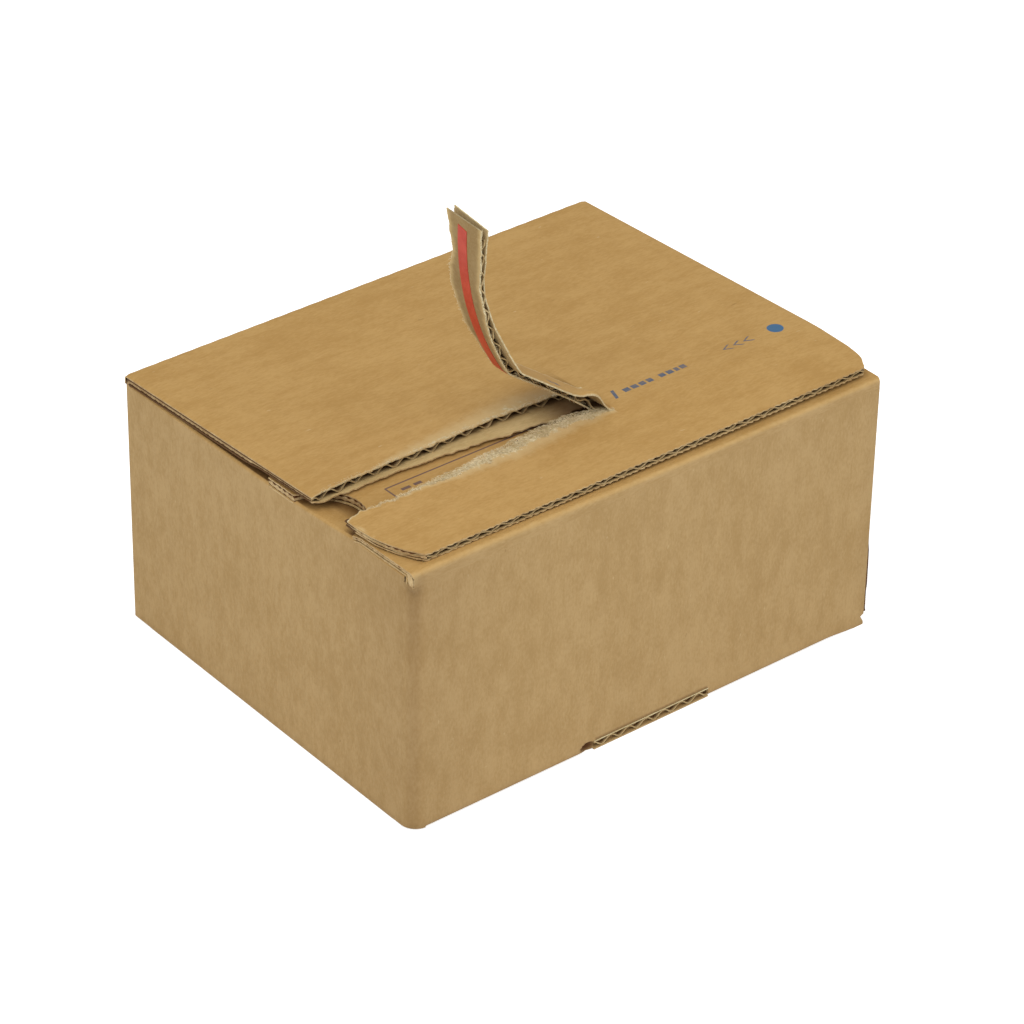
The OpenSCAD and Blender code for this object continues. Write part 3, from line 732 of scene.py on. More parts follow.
def fluting_tree():
    tree, given, result = geometry_group("Fluting", "Pitch", "Swing", "Paper")

    def stored(name):
        return add_node(tree, "GeometryNodeInputNamedAttribute", {"Name": name}, data_type="FLOAT")[0]

    turns = math_node(tree, "DIVIDE", stored("along"), given["Pitch"])
    wave = math_node(tree, "COSINE", times(tree, turns, 2 * math.pi))
    swing = times(tree, given["Swing"], minus(tree, 1.0, stored("flat")))
    inputs = {0: add_node(tree, "GeometryNodeInputNormal")[0], "Scale": times(tree, wave, swing)}
    push = add_node(tree, "ShaderNodeVectorMath", inputs, operation="SCALE")[0]
    moved = add_node(tree, "GeometryNodeSetPosition", {"Geometry": given["Geometry"], "Offset": push})[0]
    inputs = {"Mesh": moved, "Offset Scale": given["Paper"], "Individual": False}
    grown = add_node(tree, "GeometryNodeExtrudeMesh", inputs, mode="FACES")["Mesh"]
    both = add_node(tree, "GeometryNodeJoinGeometry", {0: grown})[0]
    put(both.node.inputs[0], add_node(tree, "GeometryNodeFlipFaces", {0: moved})[0])
    weld = add_node(tree, "GeometryNodeMergeByDistance", {"Geometry": both, "Distance": 1e-6})[0]
    return end_tree(tree, given, result, weld)


def run_tree(name, base, tree, values):
    """Runs a tree on an object and keeps the result as a plain mesh."""
    modifier = base.modifiers.new("tree", "NODES")
    modifier.node_group = tree
    sockets = {s.name: s.identifier for s in tree.interface.items_tree if s.in_out == "INPUT"}
    for label, value in values.items():
        modifier[sockets[label]] = value
    graph = bpy.context.evaluated_depsgraph_get()
    mesh = bpy.data.meshes.new_from_object(base.evaluated_get(graph), depsgraph=graph)
    mesh.name = name
    piece = add_object(name, mesh)
    bpy.data.objects.remove(base)
    return piece


FLUTING = fluting_tree()


def flute(sheet, swing):
    """Turns a flat middle surface into the medium."""
    points, _, faces, marks = sheet.welded()
    marks = {key: marks[key] for key in ("along", "shade", "flat")}
    base = build_mesh(sheet.name + "_base", points, faces, [], None, marks)
    values = {"Pitch": PITCH, "Swing": swing * MM, "Paper": MEDIUM * MM, "Material": medium_paper}
    finish_piece(run_tree(sheet.name, base, FLUTING, values))


SWING = (BOARD - 2 * LINER - MEDIUM) / 2
print("the medium swings", round(SWING, 2), "mm to each side")

# %% Medium of the lid
def medium_crush(x, v):
    """The middle surface stays halfway between the two liners."""
    return 0.5 * (crushed_up(x, v) + crushed_down(x, v))


def medium_marks(x, y):
    """Painted shade darkens the medium just inside its edges, and the medium is as flat as the crushed liners
    leave it.
    """
    shade = 0.25 + 0.65 * smooth((np.abs(y - y[:, -1:]) - 0.1) / 1.0)
    lost = np.vectorize(crushed_down)(x, y) - np.vectorize(crushed_up)(x, y)
    return {"shade": shade, "flat": lost / (2 * SWING)}


medium_edges = (medium_tear_y, lambda x: LINE_FRONT + 1.2 + 0.5 * wander(x, 21, 2.0),
                lambda x: band_edge_y(x) + zigzag(x + 0.6, 0.15) + 0.1)
flute(
    lid_sheet("lid_medium", medium_edges, BOARD / 2 + MEDIUM / 2, PITCH / 12, 26, medium_crush,
              medium_marks, 5),
    SWING - 0.03)

# %% [markdown]
# ## Cut edges
# Where a knife cuts along a flute, no open cells show. The papers are crushed to a
# pale, fibrous band between two thin dark grooves, and the upper groove follows the
# teeth of the knife. One band of surface does this: it runs along the edge, bulges
# between the liners, and carries the grooves as shade.

# %% Band between the liners along a cut
SHARES = np.array([0, 0.06, 0.12, 0.18, 0.24, 0.3, 0.36, 0.43, 0.5, 0.57, 0.63, 0.68, 0.74, 0.8, 0.9, 1.0])


def edge_band(name, ways, place, seed, thin=lambda t: 0.0, double=lambda t: 0.0, open_at=lambda t: 1.0):
    """Place(t, depth, out) gives the point on the edge. Thin(t) is how much the board is crushed there.
    Double(t) adds a third groove half way, and open_at(t) fades all grooves."""
    pairs, shade = [], []
    for t in ways:
        tooth = 0.1 * zigzag(t, 1.0) + 0.05 * wander(t, seed + 2, 0.9)
        line, dark = [], []
        for share in SHARES:
            bulge = math.sin(math.pi * share) ** 0.7 * (0.42 + 0.1 * wander(t, seed, 1.6))
            out = bulge - 0.5 + 0.05 * wander(t + share * 9, seed + 1, 0.7)
            line.append(place(t, LINER * 0.8 + share * (BOARD - 1.6 * LINER - thin(t)), out))
            # The grooves are painted shade in the gaps between the papers; the specks are dark fibres of the
            # crushed paper.
            groove = smooth(1 - (share - 0.2 - tooth) / 0.12) + 0.95 * smooth((share - 0.68 + tooth) / 0.12)
            middle = double(t) * max(0.0, 1 - abs(share - 0.5 - tooth / 2) / 0.07)
            speck = 0.3 * max(0, wander(t * 1.3, seed + 5 + int(share * 7), 0.6))
            dark.append(open_at(t) * min(1.0, float(groove) + middle + speck))
        pairs.append(line)
        shade.append(dark)
    sheet = Sheet(name).add(pairs, shade=shade)
    finish_piece(thicken(sheet, [cut_paper, cut_paper, cut_paper], 0.2, 60))


# %% Cut edges of the lid
def lid_side(side):
    def place(t, depth, out):
        (x, y, z), _ = lid_point(side * LID_HALF, t, max(depth, 0.1))
        drop = crushed_down(LID_HALF, t) * (1 - depth / BOARD) if t < HINGE_Y else 0.0
        return (side * (LID_HALF + out), y, z - drop), (side, 0, 0)
    return place


def left_thin(t):
    """The lid's left edge is crushed to two thirds in its front half."""
    return -crushed_up(-LID_HALF, t)


def left_double(t):
    return 0.6 * smooth((t - 5) / 4)


LAST_T = HINGE_Y + fold_end(1.0) * 0.96
for side, name, rear_end, reach, thin, double in (
        (-1, "left", LINE_REAR, LEFT_REACH, left_thin, left_double),
        (1, "right", LINE_FRONT, RIGHT_REACH, lambda t: 0.25, lambda t: 0.0)):
    title, place = "lid_edge_" + name, lid_side(side)
    edge_band(title + "_rear", stations(LAST_T, rear_end + 0.4, 0.45), place, 60 + side, thin, double)
    edge_band(title + "_front", stations(LINE_FRONT, FREE_Y + reach, 0.45), place, 64 + side, thin)


# %% Cut edge round the band's left corner
def band_corner(t, depth, out):
    """The knife cuts across the flutes at a slant here, so the cells are closed too."""
    centre = Vector((-LID_HALF + LEFT_ARC, FREE_Y + LEFT_REACH))
    a = math.pi + t / LEFT_ARC
    n = (math.cos(a), math.sin(a), 0)
    x, y = centre.x + (LEFT_ARC + out) * n[0], centre.y + (LEFT_ARC + out) * n[1]
    return (x, y, band_top(y) - 0.2 - depth), n


corner_ways = stations(0, LEFT_ARC * math.asin(LEFT_REACH / LEFT_ARC), 0.4)
edge_band("lid_edge_left_corner", corner_ways, band_corner, 68, lambda t: 0.9)

# %% [markdown]
# ## The tear strip
# The strip leaves the lid at its root, climbs along a straight ramp, turns up at a
# knee and curls on until it stands upright. Its path is a chain of arcs and straight
# stretches, the same as in the part. A point of the strip is named by its distance s
# along that path, its place y across the strip, and its depth below the top face.

# %% Path of the strip
RISE = math.radians(36.5)
KNEE = math.radians(58.5)
STRETCHES = [(2.0, 2.0 * RISE), (None, 38.6), (5.0, 5.0 * (KNEE - RISE)), (82.0, 82.0 * (math.pi / 2 - KNEE)),
             (None, 99.0)]
STRIP_LEN = TORN + 1.0
STRIP_T = 2.4
ROOT_Z = lid_top((LINE_FRONT + LINE_REAR) / 2)


def path(s):
    """Point (x, z) and slope angle of the strip's top face."""
    x, z, a = ROOT_X, ROOT_Z, 0.0
    if s < 0:
        return x - s, z, a
    for radius, length in STRETCHES:
        run = min(s, length)
        if radius:
            b = a + run / radius
            x, z, a = x - radius * (math.sin(b) - math.sin(a)), z + radius * (math.cos(a) - math.cos(b)), b
        else:
            x, z = x - run * math.cos(a), z + run * math.sin(a)
        s -= run
        if s <= 0:
            break
    return x, z, a


def strip_depth(s):
    return STRIP_T + (BOARD - STRIP_T) * min(1, max(0, 1 - s / (2 * PITCH)))


def strip_point(s, y, depth):
    x, z, a = path(s)
    return (x - depth * math.sin(a), y, z - depth * math.cos(a)), (math.sin(a), 0, math.cos(a))


print("the strip ends", round(path(STRIP_LEN)[1], 1), "mm up; the part says", round(STRIP_TOP, 1))

# %% Edges of the strip
REAR_INNER = [(0, 5.6), (0.2, 5.4), (0.38, 5), (0.45, 4), (0.51, 2.2), (0.6, 1.7), (0.7, 0.7), (0.78, 2),
              (0.84, 3.5), (0.92, 2.4), (1, 0.9)]
REAR_OUTER = [(0, 0.6), (0.2, 1.6), (0.4, 2.4), (0.55, 1.2), (0.7, 0.4), (0.85, 1.2), (1, 1.5)]
FRONT_INNER = [(0, 2.5), (0.04, 4.6), (0.26, 4.8), (0.38, 3.0), (0.53, 2.5), (0.62, 1.6), (0.73, 1.5),
               (0.82, 0.6), (0.9, 0), (1, 0)]
FRONT_OUTER = [(0, 0), (0.45, 0.4), (0.54, 2), (0.68, 3), (0.76, 2.3), (0.84, 0.8), (0.93, 0), (1, 0)]


def strip_edge(s, pairs, seed, fine):
    """Distance from the tear line by the height that the path has reached, made ragged."""
    base = np.interp((path(s)[1] - ROOT_Z) / (STRIP_TOP - ROOT_Z), *zip(*pairs))
    return base + (wander(s, seed, 2.2) + 0.5 * wander(s, seed + 1, 0.8)) * fine * smooth(s / 3)


def strip_rear(pairs, seed, fine, back=0.0):
    return lambda s: LINE_REAR - strip_edge(s, pairs, seed, fine) - back


def strip_front(pairs, seed, fine, back=0.0):
    return lambda s: LINE_FRONT + strip_edge(s, pairs, seed, fine) + back


def hump(s, y):
    """The outer liner came loose near the root: it stands up, and its front rim curls down again."""
    near = math.exp(-((s - 9.5) / 4.8) ** 2)
    return near * float(3.2 * smooth(1 - (y - LINE_FRONT) / 10) - 0.9 * smooth(1 - (y - LINE_FRONT) / 1.2))


def strip_sheet(name, depth_at, rear, front, start, end, step, rows,
                slant=1.5, torn=(1.2, 0.6), dark=0.0, loose=0.0):
    """One paper of the strip. Its end slants down to the front, and its long edges are torn. Dark paints
    shade inside the board, away from the long edges.
    """
    pairs, bare, shade = [], [], []
    ways = stations(start, end, step)
    for s in ways:
        ys = np.linspace(front(s), rear(s), rows)
        own = s - slant * smooth((s - end + 10) / 10) * (ys[-1] - ys) / (ys[-1] - ys[0])
        pairs.append([strip_point(t, y, depth_at(t) - loose * hump(t, y)) for t, y in zip(own, ys)])
        bare.append(np.maximum(np.maximum(1 - (ys[-1] - ys) / torn[0], 1 - (ys - ys[0]) / torn[1]), 0))
        shade.append(dark * smooth(np.minimum(ys - ys[0], ys[-1] - ys) / 2.0))
    return Sheet(name).add(pairs, bare=bare, along=np.repeat(ways[:, None], rows, 1), shade=shade)


finish_piece(thicken(
    strip_sheet("strip_outer_liner", lambda s: 0.0, strip_rear(REAR_OUTER, 31, 0.4),
                strip_front(FRONT_OUTER, 33, 0.2), -0.4, STRIP_LEN, 0.6, 30, loose=1.0),
    [lid_paper, torn_paper, medium_paper]))

# %% Inner liner of the strip
finish_piece(thicken(
    strip_sheet("strip_inner_liner", lambda s: strip_depth(s) - LINER, strip_rear(REAR_INNER, 35, 0.35),
                strip_front(FRONT_INNER, 37, 0.25), -0.4, STRIP_LEN - 0.5, 0.6, 18, 0.6, (0.8, 0.5), 0.5),
    [medium_paper, torn_paper, inner_paper]))

# %% Medium of the strip
flute(
    strip_sheet("strip_medium", lambda s: (strip_depth(s) + MEDIUM) / 2, strip_rear(REAR_INNER, 39, 0.5, 0.7),
                strip_front(FRONT_INNER, 41, 0.4, 0.5), 0.4, STRIP_LEN - 3.0, PITCH / 14, 10, dark=0.9),
    (STRIP_T - 2 * LINER - MEDIUM) / 2)

# %% [markdown]
# ## The tear tape
# A narrow red film is stuck to the inner liner. It follows the same path, lies a
# little proud of the paper and has a soft gloss, with the fibres showing through.

# %% Red tear tape
def film(name, colour, dark):
    material, tree, shader = new_material(name)
    place = object_place(tree)
    cloud = spread(tree, noise_node(tree, place, 160.0, 4.0, 0.6), 0.3, 0.7)
    put(shader["Base Color"], mix_colour(tree, cloud, dark, colour))
    surface(tree, shader, 0.42, 0.25, noise_node(tree, place, 900.0, 3.0, 0.6))
    return material


red_film = film("red_film", srgb(198, 70, 48), srgb(180, 52, 30))
glue_film = film("glue_film", srgb(222, 206, 158), srgb(206, 188, 138))
TAPE_Y = LINE_FRONT + 7.7
TAPE_W = 3.7
TAPE_T = 0.15


def tape_edge(side):
    return lambda s: TAPE_Y + side * TAPE_W / 2 + 0.05 * wander(s, 51 + side, 4.0)


tape = thicken(
    strip_sheet("tear_tape_film", strip_depth, tape_edge(1), tape_edge(-1), -0.4, STRIP_LEN - 3.0, 0.9, 6,
                slant=0.8),
    [red_film, red_film, red_film], TAPE_T)
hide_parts("tear_tape")
finish_piece(tape)

# %% [markdown]
# ## Walls
# The walls are one band of board with round vertical folds. It starts at the raw edge
# of the right wall, goes round the rear, the left side and the front, and turns in at
# the last fold, where the hidden glue flap starts. One direction of the grid runs
# round the box, the other up. Near the ground the middle of each wall curves in
# towards its base flap. In front a slit was cut into that fold, so there the wall
# stops short and the raw edge of the base flap shows.

# %% Columns round the box
def straight(start, end, out, step):
    count = max(2, int(round(math.dist(start, end) / step)) + 1)
    return [(start[0] + (end[0] - start[0]) * k, start[1] + (end[1] - start[1]) * k, out)
            for k in np.linspace(0, 1, count)]


def bend(centre, radius, from_deg, to_deg, count):
    ways = [(math.cos(a), math.sin(a)) for a in np.radians(np.linspace(from_deg, to_deg, count))]
    return [(centre[0] + radius * c, centre[1] + radius * s, (c, s)) for c, s in ways]


BEND_X, BEND_Y = HALF_W - CORNER_R, HALF_D - CORNER_R
SLIT = (-19.0, 23.0)
SHARP = 0.7
LAST_X = HALF_W - 0.05
COLUMNS = straight((HALF_W, -65.4), (HALF_W, BEND_Y), (1, 0), 1.6)
COLUMNS += bend((BEND_X, BEND_Y), CORNER_R, 0, 90, 11)[1:]
COLUMNS += straight((BEND_X, HALF_D), (-HALF_W + SHARP, HALF_D), (0, 1), 1.6)[1:]
COLUMNS += bend((-HALF_W + SHARP, HALF_D - SHARP), SHARP, 90, 180, 6)[1:]
COLUMNS += straight((-HALF_W, HALF_D - SHARP), (-HALF_W, -BEND_Y), (-1, 0), 0.8)[1:]
COLUMNS += bend((-BEND_X, -BEND_Y), CORNER_R, 180, 270, 21)[1:]
FRONT_STOPS = [-BEND_X, SLIT[0] - 4.5, SLIT[0], SLIT[1], BEND_X, LAST_X - SHARP]
for start, end in zip(FRONT_STOPS, FRONT_STOPS[1:]):
    COLUMNS += straight((start, -HALF_D), (end, -HALF_D), (0, -1), 0.75)[1:]
COLUMNS += bend((LAST_X - SHARP, -HALF_D + SHARP), SHARP, 270, 360, 7)[1:]
COLUMNS += straight((LAST_X, -HALF_D + SHARP), (LAST_X, -HALF_D + BOARD), (1, 0), 0.75)[1:]
print(len(COLUMNS), "columns round the box")


# %% Walls
def slit_hole(x, y, z):
    """How deep a point lies in the small round hole at the slit's left end, from 0 to 1."""
    if y >= -HALF_D + 0.1:
        return 0.0
    return max(0.0, 1 - ((x - SLIT[0] + 2.2) / 2.6) ** 2 - ((z - 1.7) / 1.6) ** 2)


def wall_place(column, z):
    """Point and direction on a wall, which is slightly wavy, turns in at its foot, and has a sharper corner
    on top. The raw edge at the right leans out, and has a notch near its foot."""
    x, y, n = column
    flat = max(abs(n[0]), abs(n[1])) > 0.999
    on_front = abs(abs(y) - HALF_D) < 0.01 and abs(x) < BEND_X + 0.01
    folded = on_front or (abs(abs(x) - HALF_W) < 0.01 and abs(y) < SIDE_FOOT)
    wash = washboard(x if abs(n[1]) > 0.5 else y) * smooth(z / 8) if flat else 0.0
    if not folded and x < BEND_X:
        z = max(z, 0.4)
    foot = 0.1 + (FOOT_R - 0.1) * smooth((BEND_X + 2 - x) / 12) if abs(n[1]) > 0.5 else 0.45
    t = max(0.0, (foot - z) / foot) if folded else 0.0
    side = math.sqrt(max(0.0, 1 - t * t))
    k = wash - foot * (1 - side)
    if x < -BEND_X and y < -BEND_Y:
        k += CORNER_R * (1 / max(abs(n[0]), abs(n[1])) - 1) * smooth((z - WALL_TOP) / 4)
    k -= 1.3 * slit_hole(x, y, z) ** 0.5
    if x == HALF_W and y < -60:
        near = smooth((-60 - y) / 5)
        x += 0.38 * near * smooth((48 - z) / 30)
        y += (near * (z - 30) * 0.012 + 0.12 * (-1) ** int(z / 1.1)) if z > 3.6 else near * 2.0
    elif x > BEND_X and y < 0:
        x -= 1.3 * smooth((x - BEND_X - 1) / 3) * float(np.interp(z, [0.6, 2.9, 3.5], [0, 1, 0]))
    return (x + n[0] * k, y + n[1] * k, z), (n[0] * side, n[1] * side, -t)


def fold_shade(x, y, z):
    """Painted shade along the vertical fold in front, with some wear of the crease: darker, most of all near
    its top.
    """
    off = math.dist((x, y), (-HALF_W + 1.46, -HALF_D + 1.46)) if x < 0 and y < 0 else 99
    high = 1 + 0.45 * smooth((z - 50) / 28)
    return high * (0.1 * math.exp(-(off / 26) ** 2) + 0.16 * math.exp(-((off - 0.4) / 2.0) ** 2))


def wall_shade(column, z):
    """Painted shade at the folds, on the raw edges, low on the wall, above the slit and in the hole at the
    slit's end.
    """
    x, y, _ = column
    front = y < -HALF_D + 0.1
    raw = 1.0 if x == HALF_W and y < -64.5 or x == LAST_X and -HALF_D + 1 < y < 0 else 0.0
    right_fold = 0.06 * math.exp(-((LAST_X - x) / 3) ** 2) if front else 0.0
    in_slit = front and SLIT[0] < x < SLIT[1]
    foot = 0.55 * smooth((4.1 - z) / 0.8) if in_slit else 0.12 * smooth((3 - z) / 3)
    return min(1.0, max(raw, fold_shade(x, y, z) + right_fold + foot, slit_hole(x, y, z) ** 0.3))


def wall_sheet():
    sheet = Sheet("walls")

    def add_part(columns, heights):
        shade = [[wall_shade(column, z) for z in heights] for column in columns]
        sheet.add(grid_of(columns, lambda column: heights, wall_place), shade=shade)

    slit_top = BOARD + 0.15
    front = [i for i, (x, y, _) in enumerate(COLUMNS) if y < -HALF_D + 0.01 and x > -BEND_X + 0.01]
    first, after = (min(i for i in front if COLUMNS[i][0] > stop - 0.001) for stop in SLIT)
    for part in (COLUMNS[:first + 1], COLUMNS[after:]):
        add_part(part, [0, 0.12, 0.25, 0.45, 0.7, 1.1, FOOT_R, 2.0, 2.5, 2.9, slit_top])
    add_part(COLUMNS, [slit_top, 3.6, 4.2] + list(np.linspace(5.0, WALL_TOP, 36)))
    corner = [i for i, (x, y, n) in enumerate(COLUMNS) if y < -BEND_Y - 0.7 and i > len(COLUMNS) // 2]
    rear = [i for i, (x, y, n) in enumerate(COLUMNS) if y > HALF_D - BOARD]
    for kept, top in ((corner, FLAP_FOLD_Z), (rear, HINGE_Z)):
        add_part(COLUMNS[kept[0]:kept[-1] + 1], list(np.linspace(WALL_TOP, top, 7)))
    return sheet


finish_piece(thicken(wall_sheet(), [wall_paper, cut_paper, shaded_cavity_paper], 1.0))

# %% [markdown]
# ## Top flaps
# The front flap folds over the front wall and lies under the lid. It shows through
# the gap that the strip left, with its printed box and its finger notch. The side
# flaps lie below it and show in the notch.

# %% Front flap
TIP_R = 0.5
EDGE_CRUSH = 1.3


def notch_edge(y):
    """The flap's left edge: the finger notch, the straight edge, and its tight front corner."""
    across = y - NOTCH_Y
    if y < -HALF_D + TIP_R:
        return -HALF_W + TIP_R - math.sqrt(max(TIP_R ** 2 - (y + HALF_D - TIP_R) ** 2, 0.0))
    if abs(across) >= NOTCH_R:
        return -HALF_W
    return max(-HALF_W, -HALF_W - 0.8 + math.sqrt(NOTCH_R ** 2 - across ** 2))


def flap_run(depth):
    """Length of the fold from the flap down to the wall."""
    return BOARD * math.pi / 2 if depth else 2 * (BOARD - LID_FOLD_R) + LID_FOLD_R * math.pi / 2


def flap_rise(x, v):
    """The flap stands a little higher at its left end and along its fold, where no lid holds it down."""
    left = float(smooth((-70 - x) / 12) * smooth((-38 - v) / 6))
    fold = float(smooth((40 - x) / 115) * smooth((-60.5 - v) / 2.5))
    return 1.2 * max(left, fold)


def edge_crush(x, v):
    """How far the flap is crushed at its left edge, in front of the notch."""
    near = smooth(1 - (x + HALF_W) / 7) * smooth((v - FLAP_FOLD_Y + 1.5) / 1.5)
    return EDGE_CRUSH * float(near * smooth((-38.7 - v) / 1.5))


def flap_point(x, v, depth):
    """Point and direction on the flap. Past its fold line v runs round the fold, down to the wall."""
    run = FLAP_FOLD_Y - v
    flat = BOARD - LID_FOLD_R
    share = 1.0
    if run <= 0 or (not depth and run < flat):
        y, z, n = v, flap_top(max(v, FLAP_FOLD_Y)) - depth, (0, 0, 1)
    elif depth:
        a, r = max(math.pi / 2 - run / BOARD, 0.0), BOARD - depth
        share = math.sin(a)
        y, z, n = FLAP_FOLD_Y - r * math.cos(a), FLAP_FOLD_Z + r * math.sin(a), (0, -math.cos(a), math.sin(a))
    else:
        a = max(math.pi / 2 - (run - flat) / LID_FOLD_R, 0.0)
        drop = max(run - flat - LID_FOLD_R * math.pi / 2, 0.0)
        y = FLAP_FOLD_Y - flat - LID_FOLD_R * math.cos(a)
        z, n = FLAP_FOLD_Z + flat + LID_FOLD_R * math.sin(a) - drop, (0, -math.cos(a), math.sin(a))
        share = min(1.0, (z - FLAP_FOLD_Z) / BOARD)
    return (x, y, z + flap_rise(x, v) * share + edge_crush(x, v) * depth / BOARD), n


def root_shade(x, y):
    """Little light reaches the papers at the narrow end of the gap, under the strip's root."""
    return 0.92 * float(smooth((x + 20) / 18) * smooth((y - LINE_FRONT) / 3))


def flap_sheet(name, depth, step_y, cols, jitter=0.0):
    pairs, bare, shade = [], [], []
    fold = FLAP_FOLD_Y - np.linspace(0, flap_run(depth), 12)[1:]
    for v in list(stations(FLAP_END_Y, FLAP_FOLD_Y, step_y)) + list(fold):
        y = flap_point(0.0, v, depth)[0][1]
        left, right = max(notch_edge(y) + zigzag(v, jitter), -HALF_W), LAST_X - 0.3 * max(0.0, -64.5 - y)
        xs = list(np.linspace(left, -60, cols)) + list(np.linspace(-60, right, 40))[1:]
        pairs.append([flap_point(x, v, depth) for x in xs])
        worn = 0.32 * math.exp(-((FLAP_FOLD_Y - 2.6 - v) / 0.9) ** 2)
        tip = (-HALF_W + 1, FLAP_FOLD_Y - 4.0)
        bare.append([worn + 0.9 * max(0.0, 1 - math.dist((x, v), tip) / 1.6) for x in xs])
        front = smooth((FLAP_FOLD_Y - 2.4 - v) / 1.4)
        shade.append([max(root_shade(x, v), front * fold_shade(x, -HALF_D, WALL_TOP)) for x in xs])
    return Sheet(name).add(pairs, bare=bare, shade=shade)


finish_piece(thicken(flap_sheet("front_flap_outer_liner", 0.0, 0.8, 16, 0.12),
                     [flap_paper, cut_paper, shaded_cavity_paper]))
finish_piece(thicken(flap_sheet("front_flap_inner_liner", BOARD - LINER, 1.0, 14),
                     [inner_paper, cut_paper, inner_paper]))


# %% Cut edge of the front flap
def flap_side(t, depth, out):
    """The edge band's place on the flap, which follows the notch and the corner."""
    y = flap_point(0.0, t, depth)[0][1]
    lean = (notch_edge(y + 0.2) - notch_edge(y - 0.2)) / 0.4
    way = Vector((-1, min(max(lean, -6), 6), 0)).normalized()
    (x, y, z), _ = flap_point(notch_edge(y), t, depth)
    return (x + way.x * out, y + way.y * out, z), tuple(way)


edge_band("front_flap_edge", stations(FLAP_END_Y, FLAP_FOLD_Y - BOARD * math.pi / 2, 0.4), flap_side, 71,
          open_at=lambda t: smooth((t - FLAP_FOLD_Y - 0.5) / 2))


# %% Side flaps
def side_rise(side, y):
    """The left side flap stands higher near the front, where the tear has opened the box."""
    if side > 0:
        return 0.0
    return float(np.interp(y, [-62, -41, -30, -16, 5, 62], [3.2, 3.3, 2.2, 1.4, 0.7, 0.0]))


def notch_shade(x, y):
    """Painted shade on the side flap seen through the finger notch, darker towards the notch's edge."""
    return 0.75 * smooth((math.dist((x, y), (-HALF_W - 0.8, NOTCH_Y)) - 7.0) / 5) if x < 0 else 0.0


def side_flap_sheet(side, name):
    pairs, bare, shade = [], [], []
    for y in stations(-HALF_D + BOARD + 1, HALF_D - 1.1, 2):
        top, r = SIDE_TOP + side_rise(side, y), LID_FOLD_R
        line = [((side * HALF_W, y, WALL_TOP), (side, 0, 0))]
        for a in np.linspace(0, math.pi / 2, 9):
            c, s = math.cos(a), math.sin(a)
            line.append(((side * (HALF_W - r + r * c), y, top - r + r * s), (side * c, 0, s)))
        for x in stations(HALF_W - r, HALF_W - 62.0, 2.5)[1:]:
            eased_top = SIDE_TOP + (top - SIDE_TOP) * smooth((x - HALF_W + 12) / 10)
            line.append(((side * x, y, eased_top), (0, 0, 1)))
        pairs.append(line)
        bare.append([0.2 * math.exp(-((k - 6) / 1.5) ** 2) for k in range(len(line))])
        shade.append([fold_shade(*p) if k < 8 else notch_shade(*p[:2]) for k, (p, _) in enumerate(line)])
    return Sheet(name).add(pairs, bare=bare, shade=shade)


for side, name in ((-1, "side_flap_left"), (1, "side_flap_right")):
    finish_piece(thicken(side_flap_sheet(side, name), [wall_paper, cut_paper, inner_paper], 2.0))


# %% [markdown]
# ## Base
# The base is a crash-lock base: two side flaps, and two large flaps whose tongues
# hook over each other. It shows only from below, as plain paper with narrow gaps.

# %% Base flaps
def plate(name, outline, z0, z1, face=wall_paper, rim=cut_paper):
    """A flat board from an outline, with a closed rim."""
    n = len(outline)
    points = [(x, y, z) for z in (z0, z1) for x, y in outline]
    faces = [list(range(n))[::-1], list(range(n, 2 * n))]
    faces += [[i, (i + 1) % n, n + (i + 1) % n, n + i] for i in range(n)]
    area = sum(a[0] * b[1] - a[1] * b[0] for a, b in zip(outline, outline[1:] + outline[:1]))
    if area < 0:
        faces = [f[::-1] for f in faces]
    finish_piece(build_mesh(name, points, faces, [face, rim], [0, 0] + [1] * n, None, 30))


def box_outline(x0, x1, y0, y1):
    return [(x0, y0), (x1, y0), (x1, y1), (x0, y1)]


def turned(outline, sign):
    """The outline as it is for a sign of 1, and turned half round for -1."""
    return [(sign * x, sign * y) for x, y in outline]


HOOK, LEAN, CUT, ARM = 16.0, 6.4, 0.25, HALF_W - 12
large = [
    (-BEND_X, -HALF_D + FOOT_R), (BEND_X, -HALF_D + FOOT_R), (ARM, -SIDE_FOOT), (ARM, -HOOK - CUT),
    (LEAN - CUT, -HOOK - CUT), (-LEAN - CUT, HOOK - CUT), (-ARM, HOOK - CUT), (-ARM, -SIDE_FOOT),
]
plate("base_flap_front", large, 0.0, BOARD)
plate("base_flap_rear", turned(large, -1), 0.0, BOARD)
for name, sign in (("base_flap_left", 1), ("base_flap_right", -1)):
    for part, near, far, z in (("", 0.45, 11.5, 0.0), ("_upper", 8, 45, BOARD + 0.2)):
        flap = box_outline(-HALF_W + near, -HALF_W + far, -SIDE_FOOT, SIDE_FOOT)
        plate(name + part, turned(flap, sign), z, z + BOARD)

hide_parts("box_blank")

# %% Raw edge of the base flap in the slit
def lip_place(x, y):
    """A point of the middle surface between the two liners."""
    return (x, y, (BOARD - MEDIUM) / 2), (0, 0, 1)


lip_outline = box_outline(*SLIT, -HALF_D, -HALF_D + FOOT_R + 0.5)
plate("slit_liner_low", lip_outline, 0.0, LINER)
plate("slit_liner_high", lip_outline, BOARD - LINER, BOARD, inner_paper, torn_paper)
lip_ys = np.linspace(-HALF_D + 0.15, -HALF_D + FOOT_R + 0.4, 5)
lip = grid_of(stations(*SLIT, PITCH / 12), lambda x: lip_ys, lip_place)
lip_shade = smooth((lip[:, :, 0, 1] + HALF_D) / 1.2) * 0.9
flute(Sheet("slit_medium").add(lip, along=lip[:, :, 0, 0], shade=lip_shade), SWING - 0.03)

# %% [markdown]
# ## Torn fibres
# Torn kraft paper ends in a fringe of single fibres. They follow a rule: many short
# bent hairs, strewn at random along each tear. So Geometry Nodes strews them: points
# on a narrow ribbon along the tear, and on each point a small bent tube, turned and
# sized at random.

